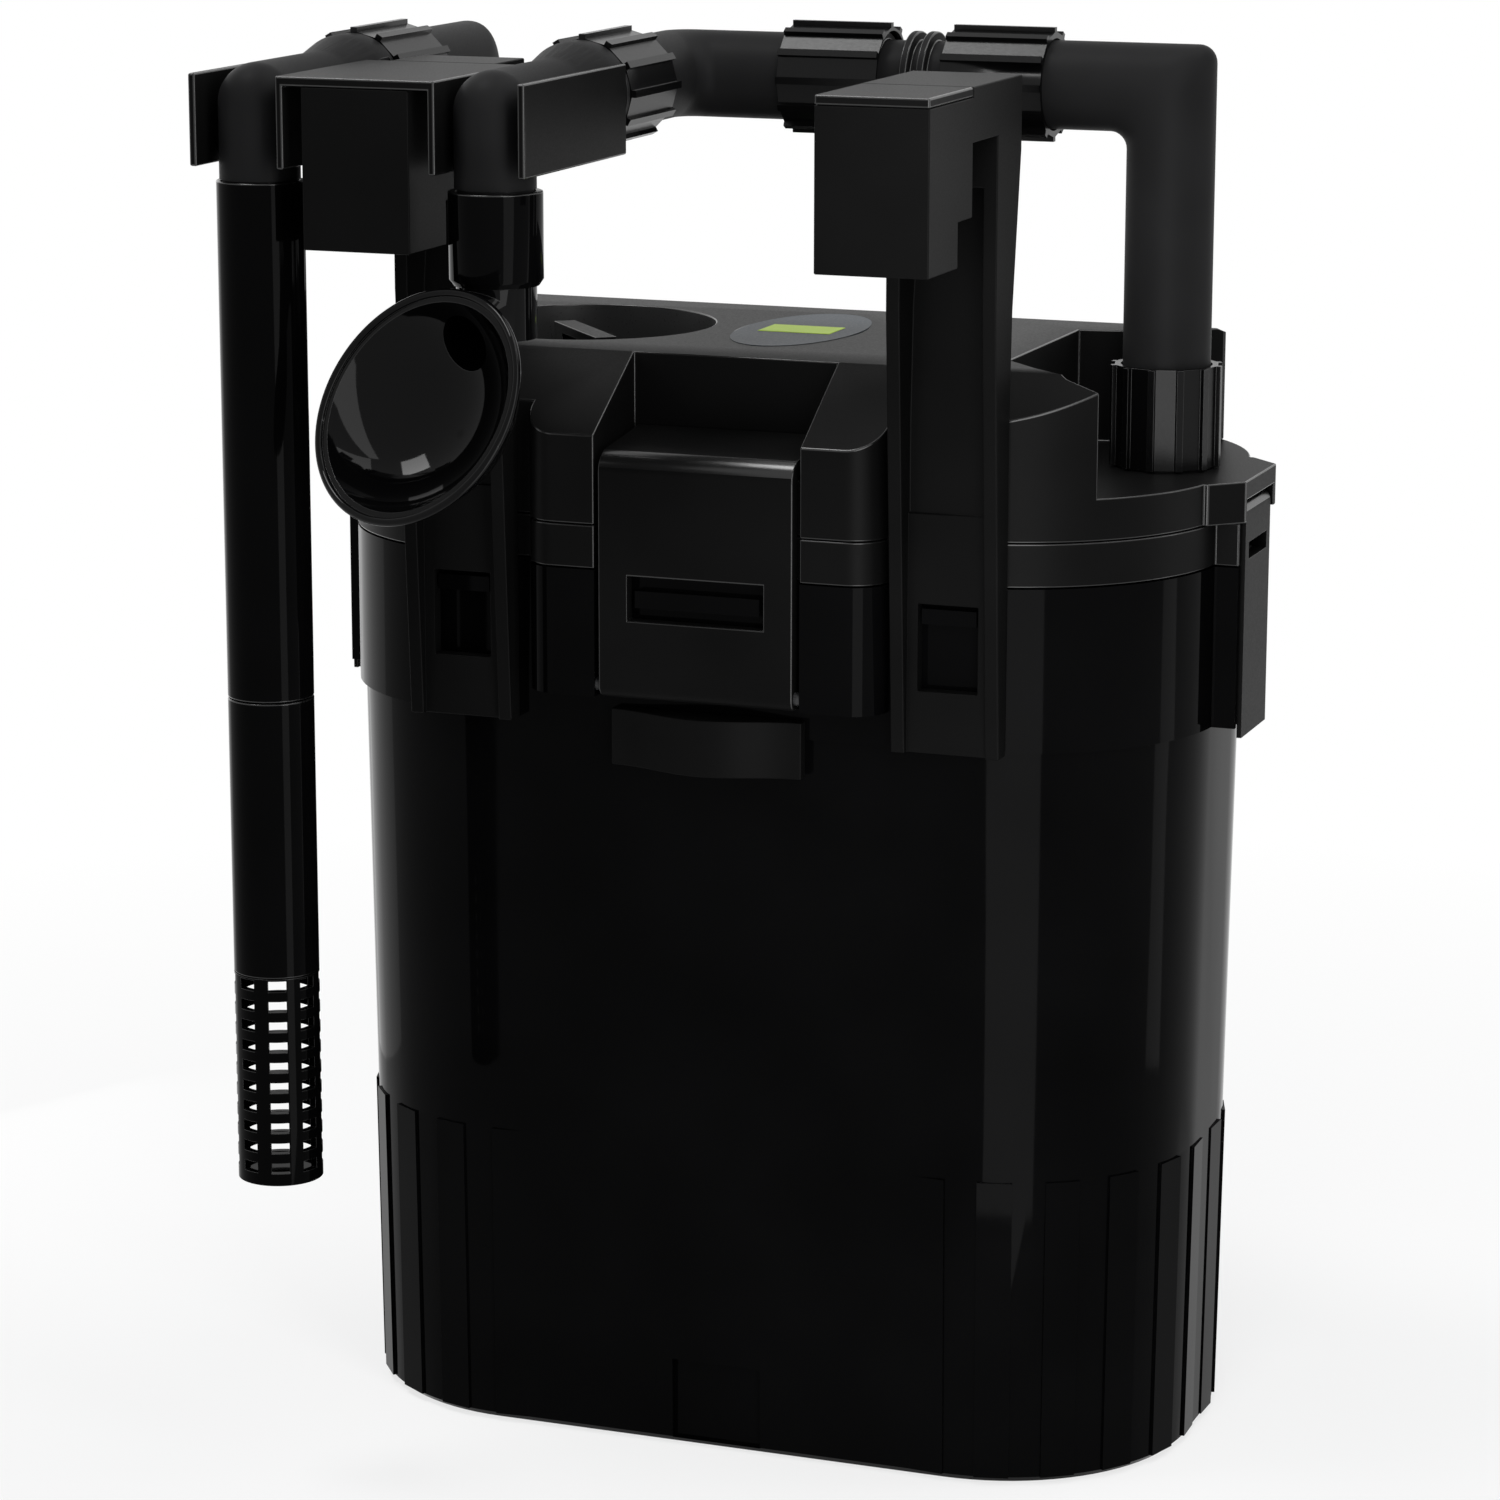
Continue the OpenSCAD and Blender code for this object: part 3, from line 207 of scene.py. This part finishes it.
def shader_tree(name):
    """A new material with its tree, shader and coordinates, or else the one of that name alone."""
    mat = bpy.data.materials.get(name)
    if mat:
        return mat, None, None, None
    mat = bpy.data.materials.new(name)
    mat.use_nodes = True
    tree = mat.node_tree
    shader = tree.nodes["Principled BSDF"]
    coords = tree.nodes.new("ShaderNodeTexCoord")
    return mat, tree, shader, coords


def noise(tree, coords, scale, detail=3.0, rough=0.5):
    """A noise texture on object coordinates, in cycles per metre."""
    node = tree.nodes.new("ShaderNodeTexNoise")
    node.inputs["Scale"].default_value = scale
    node.inputs["Detail"].default_value = detail
    node.inputs["Roughness"].default_value = rough
    tree.links.new(coords.outputs["Object"], node.inputs["Vector"])
    return node


def spread(tree, source, low, high, start=0.3, end=0.7):
    """Maps a texture's value from start..end to low..high."""
    node = tree.nodes.new("ShaderNodeMapRange")
    node.inputs["From Min"].default_value = start
    node.inputs["From Max"].default_value = end
    node.inputs["To Min"].default_value = low
    node.inputs["To Max"].default_value = high
    tree.links.new(source, node.inputs["Value"])
    return node.outputs["Result"]


def two_tones(tree, factor, dark, light):
    """A colour between two tones."""
    node = tree.nodes.new("ShaderNodeMix")
    node.data_type = "RGBA"
    node.inputs["A"].default_value = (*dark, 1)
    node.inputs["B"].default_value = (*light, 1)
    tree.links.new(factor, node.inputs["Factor"])
    return node.outputs["Result"]


def bump(tree, shader, height, strength, distance):
    """Fine relief on the shader's normal."""
    node = tree.nodes.new("ShaderNodeBump")
    node.inputs["Strength"].default_value = strength
    node.inputs["Distance"].default_value = distance
    tree.links.new(height, node.inputs["Height"])
    tree.links.new(node.outputs["Normal"], shader.inputs["Normal"])


def moulded(name, colour, rough, grain, relief, specular=0.5, tone=0.25):
    """Moulded plastic: slow tone changes, a fine grain and a roughness that varies with it."""
    mat, tree, shader, coords = shader_tree(name)
    if tree is None:
        return mat
    slow = noise(tree, coords, 35.0, 2.0)
    fine = noise(tree, coords, grain, 4.0, 0.6)
    factor = spread(tree, slow.outputs["Fac"], 0.0, 1.0)
    dark = [c * (1 - tone) for c in colour]
    light = [c * (1 + tone) for c in colour]
    tree.links.new(two_tones(tree, factor, dark, light), shader.inputs["Base Color"])
    tree.links.new(spread(tree, fine.outputs["Fac"], rough * 0.88, rough * 1.12),
                   shader.inputs["Roughness"])
    bump(tree, shader, fine.outputs["Fac"], relief, GRAIN_DEPTH)
    shader.inputs["Specular IOR Level"].default_value = specular
    return mat


def polished(name, colour, rough, specular):
    """Polished moulding: near-black, with faint flow waves that bend its reflections."""
    mat, tree, shader, coords = shader_tree(name)
    if tree is None:
        return mat
    slow = noise(tree, coords, 28.0, 2.0)
    scuff = noise(tree, coords, 420.0, 5.0, 0.6)
    stretch = tree.nodes.new("ShaderNodeMapping")
    stretch.inputs["Scale"].default_value = (1, 1, 0.18)
    tree.links.new(coords.outputs["Object"], stretch.inputs["Vector"])
    flow = tree.nodes.new("ShaderNodeTexNoise")
    flow.inputs["Scale"].default_value = 60
    flow.inputs["Detail"].default_value = 1
    tree.links.new(stretch.outputs["Vector"], flow.inputs["Vector"])
    factor = spread(tree, slow.outputs["Fac"], 0.0, 1.0)
    tree.links.new(two_tones(tree, factor, [c * 0.7 for c in colour], [c * 1.4 for c in colour]),
                   shader.inputs["Base Color"])
    tree.links.new(spread(tree, scuff.outputs["Fac"], rough * 0.7, rough * 1.4),
                   shader.inputs["Roughness"])
    bump(tree, shader, flow.outputs["Fac"], 0.5, WAVE_DEPTH)
    shader.inputs["Specular IOR Level"].default_value = specular
    return mat


def finishes():
    """Every finish of the filter, by its record slot, then three for single faces or pieces: a
    lighter grey that paints a reflection in the knob's recess, the scoop's finish, and a lighter,
    shinier finish that paints highlight lines on rounded edges.

    The blacks have specular levels far below the usual 0.5, which keeps white surroundings from
    turning them grey. Other surroundings may need higher levels.
    """
    tint = bpy.context.scene.filter_colours
    return {
        "gloss_black": polished("PolishedBlack", tint.gloss_black, 0.06, 0.022),
        "satin_black": moulded("SatinBlack", tint.satin_black, 0.42, 2600, 0.12, 0.04),
        "nut_black": moulded("NutBlack", tint.nut_black, 0.24, 2000, 0.1, 0.16),
        "pipe_grey": moulded("MattGrey", tint.pipe_grey, 0.5, 3000, 0.2, 0.04),
        "seal_rubber": moulded("SealRubber", (0.03, 0.03, 0.03), 0.6, 1500, 0.2),
        "basket_grey": moulded("BasketGrey", (0.08, 0.08, 0.085), 0.4, 1500, 0.1),
        "sponge_blue": moulded("SpongeBlue", (0.05, 0.14, 0.42), 0.9, 700, 1.0),
        "pad_white": moulded("FleeceWhite", (0.8, 0.8, 0.77), 0.95, 500, 1.0, tone=0.08),
        "potted_motor": moulded("PottedMotor", (0.04, 0.04, 0.045), 0.45, 900, 0.2),
        "magnet_grey": moulded("MagnetGrey", (0.06, 0.06, 0.065), 0.5, 1200, 0.2),
        "impeller_white": moulded("ImpellerWhite", (0.7, 0.7, 0.65), 0.4, 1200, 0.1, tone=0.05),
        "ceramic_white": moulded("CeramicWhite", (0.85, 0.85, 0.83), 0.2, 1200, 0.05, tone=0.04),
        "pin_steel": moulded("PinSteel", (0.03, 0.03, 0.031), 0.3, 1800, 0.1, 0.2),
        "badge_face": moulded("BadgeFace", tint.badge_grey, 0.4, 1500, 0.05, 0.04),
        # Painted reflection for the knob's recess: a lighter grey than the satin cover.
        "painted_recess_reflection": moulded("PaintedRecessReflection", tint.recess_reflection_grey, 0.3, 1800, 0.05, 0.5),
        "scoop_black": polished("ScoopBlack", tint.gloss_black, 0.05, 0.09),
        # Painted highlight for rounded edges and clips' knees: lighter and shinier than the satin
        # faces.
        "painted_edge_highlight": moulded("PaintedEdgeHighlight", tint.edge_highlight_black, 0.22, 1800, 0.05, 0.45),
    }


# ---------------------------------------------------------------- pieces


def node_slot(node):
    """The record's material slot of a CAD node."""
    for part in frame["record"]["subparts"]:
        if part["node"] == node:
            return part["material_slot"]
    raise RuntimeError(f"{node} has no material slot")


def finish_node(node):
    """Gives a CAD node that stays its finish."""
    data = NODES[node].data
    data.materials.clear()
    data.materials.append(finishes()[node_slot(node)])


def crease(bm, degrees):
    """Smooths every face, and keeps the edges sharper than an angle sharp."""
    limit = math.radians(degrees)
    for face in bm.faces:
        face.smooth = True
    for edge in bm.edges:
        edge.smooth = edge.is_manifold and edge.calc_face_angle(0) < limit


def put(name, bm, node, crease_at=38.0):
    """Turns a bmesh into a piece that stands for a CAD node and rides on its body."""
    crease(bm, crease_at)
    mesh = bpy.data.meshes.new(name)
    bm.to_mesh(mesh)
    bm.free()
    obj = bpy.data.objects.new(name, mesh)
    bpy.context.scene.collection.objects.link(obj)
    mesh.materials.append(finishes()[node_slot(node)])
    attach(obj, NODES[node]["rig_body"])
    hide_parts(node)
    return obj


def merged(node):
    """A merged copy of a CAD node's mesh, with its flat faces joined."""
    bm = bmesh.new()
    bm.from_mesh(NODES[node].data)
    bmesh.ops.remove_doubles(bm, verts=bm.verts, dist=0.002 * MM)
    bmesh.ops.dissolve_limit(bm, angle_limit=math.radians(0.4), verts=bm.verts, edges=bm.edges)
    return bm


def rounded_copy(name, node, width, paint_edge_highlight=True, clamp=True):
    """A copy of a CAD node with small rounded edges, which unless told otherwise take a lighter,
    shinier finish than its faces that paints a highlight line along them.
    """
    obj = put(name, merged(node), node)
    obj.data.materials.append(finishes()["painted_edge_highlight"])
    edge = obj.modifiers.new("Edges", "BEVEL")
    edge.width = width
    edge.segments = 2
    edge.limit_method = "ANGLE"
    edge.angle_limit = math.radians(35)
    edge.use_clamp_overlap = clamp
    edge.harden_normals = True
    # The bevel faces take the painted edge highlight unless it is turned off.
    edge.material = 1 if paint_edge_highlight else 0
    return obj


def grown(bm, edges, move):
    """Extrudes a loop of edges, places its new points by a rule, and gives the new loop."""
    new = set(bmesh.ops.extrude_edge_only(bm, edges=edges)["geom"])
    for vert in new:
        if isinstance(vert, bmesh.types.BMVert):
            vert.co = move(vert.co)
    return [edge for edge in new
            if isinstance(edge, bmesh.types.BMEdge) and edge.verts[0] in new and edge.verts[1] in new]


def bent_pipe(name, node, corner, first, second):
    """A mitred pipe through a corner, from the end of one leg to the end of the other."""
    sizes = bpy.context.scene.filter_sizes
    step, width = sizes.flange_step, sizes.flange_width
    low, high = (Vector(end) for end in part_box(node))
    legs = []
    for leg in (first, second):
        leg = Vector(leg)
        reach = max((low - corner).dot(leg), (high - corner).dot(leg))
        legs.append((leg, reach))
    (down, down_l), (along, along_l) = legs
    across = down.cross(along)
    outer = abs((high - low).dot(across)) / 2
    radius = outer - step
    bm = bmesh.new()
    turn = down.to_track_quat("Z", "Y").to_matrix().to_4x4()
    place = Matrix.Translation(corner + down * down_l) @ turn
    loop = bmesh.ops.create_circle(bm, segments=72, radius=outer, matrix=place)["verts"]
    edges = list({edge for vert in loop for edge in vert.link_edges})
    bmesh.ops.holes_fill(bm, edges=edges)
    edges = grown(bm, edges, lambda co: co - down * width)
    axis = corner.copy()

    def narrowed(co):
        foot = axis + down * (co - axis).dot(down)
        return foot + (co - foot) * radius / outer

    edges = grown(bm, edges, narrowed)
    mitre = (down - along).normalized()
    mitre_loop = grown(bm, edges, lambda co: co - down * ((co - axis).dot(mitre) / down.dot(mitre)))
    edges = grown(bm, mitre_loop,
                  lambda co: co + along * (along_l - width - (co - axis).dot(along)))

    def widened(co):
        foot = axis + along * (co - axis).dot(along)
        return foot + (co - foot) * outer / radius

    edges = grown(bm, edges, widened)
    edges = grown(bm, edges, lambda co: co + along * width)
    bmesh.ops.holes_fill(bm, edges=edges)
    bmesh.ops.bevel(bm, geom=mitre_loop, offset=sizes.bend_round, segments=8, profile=0.5,
                    affect="EDGES", material=-1, clamp_overlap=True)
    bmesh.ops.recalc_face_normals(bm, faces=bm.faces)
    return put(name, bm, node)


def pipe_corner(node, x_side, y_side, z_side):
    """Where the axes of a mitred pipe's legs meet: -1, 0 or 1 tells low, middle or high side."""
    low, high = (Vector(end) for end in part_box(node))
    middle = (low + high) / 2
    sides = (x_side, y_side, z_side)
    width = min(high - low)
    corner = middle.copy()
    for i, side in enumerate(sides):
        if side < 0:
            corner[i] = low[i] + width / 2
        elif side > 0:
            corner[i] = high[i] - width / 2
    return corner


class FilterOperator:
    """What the filter's operators share."""

    bl_options = {"REGISTER", "UNDO"}


class FILTER_OT_canister(FilterOperator, bpy.types.Operator):
    """Polished canister and the spacer plate below its front clip"""

    bl_idname = "filter.canister"
    bl_label = "Canister"

    def execute(self, context):
        sizes = context.scene.filter_sizes
        rounded_copy("Canister", "canister_body", sizes.body_round)
        rounded_copy("SpacerPlate", "spacer_plate", sizes.pipe_round, paint_edge_highlight=False)
        return {"FINISHED"}


class FILTER_OT_head(FilterOperator, bpy.types.Operator):
    """Pump head: base, cover whose recess round the knob has a lighter grey that paints a reflection,
    and priming knob
    """

    bl_idname = "filter.head"
    bl_label = "Head"

    def execute(self, context):
        sizes = context.scene.filter_sizes
        rounded_copy("HeadBase", "head_base", sizes.head_round, clamp=False)
        cover = rounded_copy("HeadCover", "head_cover", sizes.head_round, clamp=False)
        cover.data.materials.append(finishes()["painted_recess_reflection"])
        low, high = (Vector(end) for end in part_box("priming_cap"))
        # Cover faces inside the recess reach take the lighter grey that paints the recess's
        # reflection.
        for face in cover.data.polygons:
            out = (face.center - (low + high) / 2).xy.length
            if out < sizes.recess_reach and low.z < face.center.z < high.z:
                face.material_index = 2
        rounded_copy("PrimingKnob", "priming_cap", sizes.body_round)
        return {"FINISHED"}


class FILTER_OT_badge(FilterOperator, bpy.types.Operator):
    """Plain oval badge: a raised rim round a grey face with one lime stripe"""

    bl_idname = "filter.badge"
    bl_label = "Badge"

    def execute(self, context):
        rim = context.scene.filter_sizes.badge_rim
        low, high = (Vector(end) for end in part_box("badge"))
        half = (high - low) / 2
        place = Matrix.Translation((low + high) / 2 + Vector((0, 0, half.z)))
        bm = bmesh.new()
        size = Matrix.Diagonal((half.x, half.y, 1, 1))
        bmesh.ops.create_circle(bm, cap_ends=True, segments=96, radius=1, matrix=place @ size)
        face = bm.faces[:][0]
        bmesh.ops.inset_region(bm, faces=[face], thickness=rim)
        bmesh.ops.inset_region(bm, faces=[face], thickness=BADGE_SINK, depth=-BADGE_SINK)
        level = face.calc_center_median().z
        outside = [edge for edge in bm.edges if edge.is_boundary]
        edges = grown(bm, outside, lambda co: Vector((co.x, co.y, low.z)))
        bmesh.ops.holes_fill(bm, edges=edges)
        centre = (low + high) / 2
        stripe_x = STRIPE_LENGTH * half.x
        stripe_y = STRIPE_WIDTH * half.y

        def sunk_faces():
            return [part for part in bm.faces if abs(part.normal.z) > LEVEL_FACE
                    and abs(part.calc_center_median().z - level) < SAME_LEVEL]

        for side in (-1, 1):
            for axis, reach in ((Vector((0, side, 0)), stripe_y), (Vector((side, 0, 0)), stripe_x)):
                sunk = sunk_faces()
                sunk_edges = list({edge for part in sunk for edge in part.edges})
                sunk_verts = list({vert for part in sunk for vert in part.verts})
                bmesh.ops.bisect_plane(bm, geom=sunk + sunk_edges + sunk_verts,
                                       plane_co=centre + axis * reach, plane_no=axis)
        bmesh.ops.recalc_face_normals(bm, faces=bm.faces)
        stripe = []
        for face in sunk_faces():
            at = face.calc_center_median() - centre
            if abs(at.x) < stripe_x and abs(at.y) < stripe_y:
                stripe.append(face)
        raised = bmesh.ops.inset_region(bm, faces=stripe, thickness=STRIPE_RISE,
                                        depth=STRIPE_RISE)["faces"]
        for face in stripe + raised:
            face.material_index = 1
        badge = put("Badge", bm, "badge", 50)
        badge.data.materials.append(moulded("BadgeLime", context.scene.filter_colours.badge_lime,
                                            0.4, 1500, 0.05, 0.06, 0.06))
        return {"FINISHED"}


class FILTER_OT_clips(FilterOperator, bpy.types.Operator):
    """The four clips, with a painted highlight on their knees, and their pins"""

    bl_idname = "filter.clips"
    bl_label = "Clips"

    def execute(self, context):
        sizes = context.scene.filter_sizes
        for side in ("front", "rear", "left", "right"):
            clip = rounded_copy(side.capitalize() + "Clip", side + "_clip", sizes.body_round)
            # The knee faces take the lighter, shinier edge finish, which paints a highlight band on
            # them.
            for face in clip.data.polygons:
                if KNEE_LOW < face.normal.z < KNEE_HIGH:
                    face.material_index = 1
        finish_node("clip_pins")
        return {"FINISHED"}


class FILTER_OT_hooks(FilterOperator, bpy.types.Operator):
    """Both hooks, the cap and the pipe saddle"""

    bl_idname = "filter.hooks"
    bl_label = "Hooks"

    def execute(self, context):
        sizes = context.scene.filter_sizes
        rounded_copy("LeftHook", "left_hook", sizes.hook_round, paint_edge_highlight=False)
        rounded_copy("RightHook", "right_hook", sizes.hook_round, paint_edge_highlight=False)
        rounded_copy("HookCap", "hook_cap", sizes.body_round)
        rounded_copy("PipeSaddle", "pipe_saddle", sizes.body_round)
        return {"FINISHED"}


class FILTER_OT_pipes(FilterOperator, bpy.types.Operator):
    """Pipes, strainer, elbows, coupling, socket and scoop"""

    bl_idname = "filter.pipes"
    bl_label = "Pipes"

    def execute(self, context):
        width = context.scene.filter_sizes.pipe_round
        for name, node in (("Strainer", "strainer"), ("LowerPipe", "lower_pipe"),
                           ("UpperPipe", "upper_pipe"), ("IntakeElbow", "intake_elbow"),
                           ("Coupling", "coupling"), ("OutletElbow", "outlet_elbow"),
                           ("OutletSocket", "outlet_socket")):
            rounded_copy(name, node, width)
        scoop = rounded_copy("ScoopNozzle", "scoop_nozzle", width)
        scoop.data.materials[0] = finishes()["scoop_black"]
        bent_pipe("IntakeRearElbow", "intake_rear_elbow", pipe_corner("intake_rear_elbow", 0, 1, 1),
                  (0, 0, -1), (0, -1, 0))
        bent_pipe("OutletRearElbow", "outlet_rear_elbow", pipe_corner("outlet_rear_elbow", 1, 0, 1),
                  (0, 0, -1), (-1, 0, 0))
        bent_pipe("CornerElbow", "corner_elbow", pipe_corner("corner_elbow", -1, 1, 0),
                  (0, -1, 0), (1, 0, 0))
        return {"FINISHED"}


class FILTER_OT_nuts(FilterOperator, bpy.types.Operator):
    """The six union nuts"""

    bl_idname = "filter.nuts"
    bl_label = "Union nuts"

    def execute(self, context):
        width = context.scene.filter_sizes.nut_round
        for name, node in (("IntakeUnionNut", "intake_union_nut"), ("InletNut", "inlet_nut"),
                           ("OutletNut", "outlet_nut"), ("RunNutA", "run_nut_a"),
                           ("RunNutB", "run_nut_b"), ("OutletUnionNut", "outlet_union_nut")):
            rounded_copy(name, node, width)
        return {"FINISHED"}


class FILTER_OT_inside(FilterOperator, bpy.types.Operator):
    """Finishes of the pieces inside the canister and the head"""

    bl_idname = "filter.inside"
    bl_label = "Inside"

    def execute(self, context):
        for node in ("inlet_downpipe", "lower_basket", "upper_basket", "coarse_sponge",
                     "fine_pad", "seal_ring", "cap_seal", "motor_block", "impeller_cover",
                     "rotor_magnet", "impeller", "shaft", "bushings"):
            finish_node(node)
        return {"FINISHED"}


class FILTER_OT_stage(FilterOperator, bpy.types.Operator):
    """Floor, soft lamps, world and camera"""

    bl_idname = "filter.stage"
    bl_label = "Stage"

    def execute(self, context):
        scene = context.scene
        sizes = scene.filter_sizes
        bm = bmesh.new()
        bmesh.ops.create_grid(bm, x_segments=8, y_segments=8, size=sizes.floor_half)
        mesh = bpy.data.meshes.new("Floor")
        bm.to_mesh(mesh)
        bm.free()
        floor = bpy.data.objects.new("Floor", mesh)
        scene.collection.objects.link(floor)
        floor.location.z = CAD_LOW.z - FLOOR_GAP
        mesh.materials.append(pale_floor())
        for row in LAMPS:
            lamp(*row)
        world = bpy.data.worlds.new("Studio")
        scene.world = world
        world.use_nodes = True
        sky(world.node_tree)
        data = bpy.data.cameras.new("Camera")
        data.sensor_width = 36
        data.lens = sizes.camera_lens
        camera = bpy.data.objects.new("Camera", data)
        scene.collection.objects.link(camera)
        camera.location = CAMERA_PLACE
        turn = (Matrix.Rotation(math.radians(CAMERA_TURN), 3, "Z")
                @ Matrix.Rotation(math.radians(90 - CAMERA_TILT), 3, "X")
                @ Matrix.Rotation(math.radians(CAMERA_ROLL), 3, "Z"))
        camera.rotation_euler = turn.to_euler()
        scene.camera = camera
        scene.view_settings.view_transform = "Standard"
        return {"FINISHED"}


def lamp(name, place, aim, size, power):
    """A soft panel of a width and a height at a place, aimed at a point."""
    data = bpy.data.lights.new(name, "AREA")
    data.shape = "RECTANGLE"
    data.size, data.size_y = size
    data.energy = power
    obj = bpy.data.objects.new(name, data)
    bpy.context.scene.collection.objects.link(obj)
    obj.location = place
    obj.rotation_euler = (Vector(aim) - Vector(place)).to_track_quat("-Z", "Y").to_euler()


def seen_rays(tree):
    """1 for the rays that show the surroundings: from the camera, mirrored or passed through."""
    path = tree.nodes.new("ShaderNodeLightPath")
    either = path.outputs["Is Camera Ray"]
    for ray in ("Is Glossy Ray", "Is Transmission Ray"):
        larger = tree.nodes.new("ShaderNodeMath")
        larger.operation = "MAXIMUM"
        tree.links.new(either, larger.inputs[0])
        tree.links.new(path.outputs[ray], larger.inputs[1])
        either = larger.outputs["Value"]
    return either


def pale_floor():
    """Plain pale floor that keeps the filter's shadow and fades to white away from it."""
    mat, tree, shader, coords = shader_tree("PaleFloor")
    shader.inputs["Roughness"].default_value = 0.9
    shader.inputs["Specular IOR Level"].default_value = 0.1
    soft = noise(tree, coords, 3.0)
    tree.links.new(two_tones(tree, soft.outputs["Fac"], (0.86, 0.86, 0.86), (0.9, 0.9, 0.9)),
                   shader.inputs["Base Color"])
    white = tree.nodes.new("ShaderNodeEmission")
    away = tree.nodes.new("ShaderNodeVectorMath")
    away.operation = "LENGTH"
    tree.links.new(coords.outputs["Object"], away.inputs[0])
    fade = spread(tree, away.outputs["Value"], 0.75, 1.0, 0.12, 0.5)
    share = tree.nodes.new("ShaderNodeMath")
    share.operation = "MULTIPLY"
    tree.links.new(fade, share.inputs[0])
    tree.links.new(seen_rays(tree), share.inputs[1])
    mix = tree.nodes.new("ShaderNodeMixShader")
    tree.links.new(share.outputs["Value"], mix.inputs["Fac"])
    tree.links.new(shader.outputs["BSDF"], mix.inputs[1])
    tree.links.new(white.outputs["Emission"], mix.inputs[2])
    tree.links.new(mix.outputs["Shader"], tree.nodes["Material Output"].inputs["Surface"])
    return mat


def sky(tree):
    """World: white to the eye, dim as a light."""
    tree.nodes.clear()
    out = tree.nodes.new("ShaderNodeOutputWorld")
    seen = tree.nodes.new("ShaderNodeBackground")
    seen.inputs["Color"].default_value = (1, 1, 1, 1)
    light = tree.nodes.new("ShaderNodeBackground")
    light.inputs["Color"].default_value = (0.95, 0.97, 1, 1)
    light.inputs["Strength"].default_value = 0.25
    mix = tree.nodes.new("ShaderNodeMixShader")
    tree.links.new(seen_rays(tree), mix.inputs["Fac"])
    tree.links.new(light.outputs["Background"], mix.inputs[1])
    tree.links.new(seen.outputs["Background"], mix.inputs[2])
    tree.links.new(mix.outputs["Shader"], out.inputs["Surface"])


OPERATORS = (
    FILTER_OT_stage, FILTER_OT_canister, FILTER_OT_head, FILTER_OT_badge, FILTER_OT_clips,
    FILTER_OT_hooks, FILTER_OT_pipes, FILTER_OT_nuts, FILTER_OT_inside,
)


class FILTER_PT_panel(bpy.types.Panel):
    """The filter's operators, sizes and colours"""

    bl_label = "Canister filter"
    bl_idname = "FILTER_PT_panel"
    bl_space_type = "VIEW_3D"
    bl_region_type = "UI"
    bl_category = "Filter"

    def draw(self, context):
        for kind in OPERATORS:
            self.layout.operator(kind.bl_idname)
        for group in (context.scene.filter_sizes, context.scene.filter_colours):
            for name in group.__annotations__:
                self.layout.prop(group, name)


CLASSES = (FilterSizes, FilterColours, *OPERATORS, FILTER_PT_panel)


def register():
    for kind in CLASSES:
        bpy.utils.register_class(kind)
    bpy.types.Scene.filter_sizes = bpy.props.PointerProperty(type=FilterSizes)
    bpy.types.Scene.filter_colours = bpy.props.PointerProperty(type=FilterColours)


def unregister():
    del bpy.types.Scene.filter_colours
    del bpy.types.Scene.filter_sizes
    for kind in reversed(CLASSES):
        bpy.utils.unregister_class(kind)


def main():
    register()
    for kind in OPERATORS:
        group, name = kind.bl_idname.split(".")
        getattr(getattr(bpy.ops, group), name)()


if __name__ == "__main__":
    main()
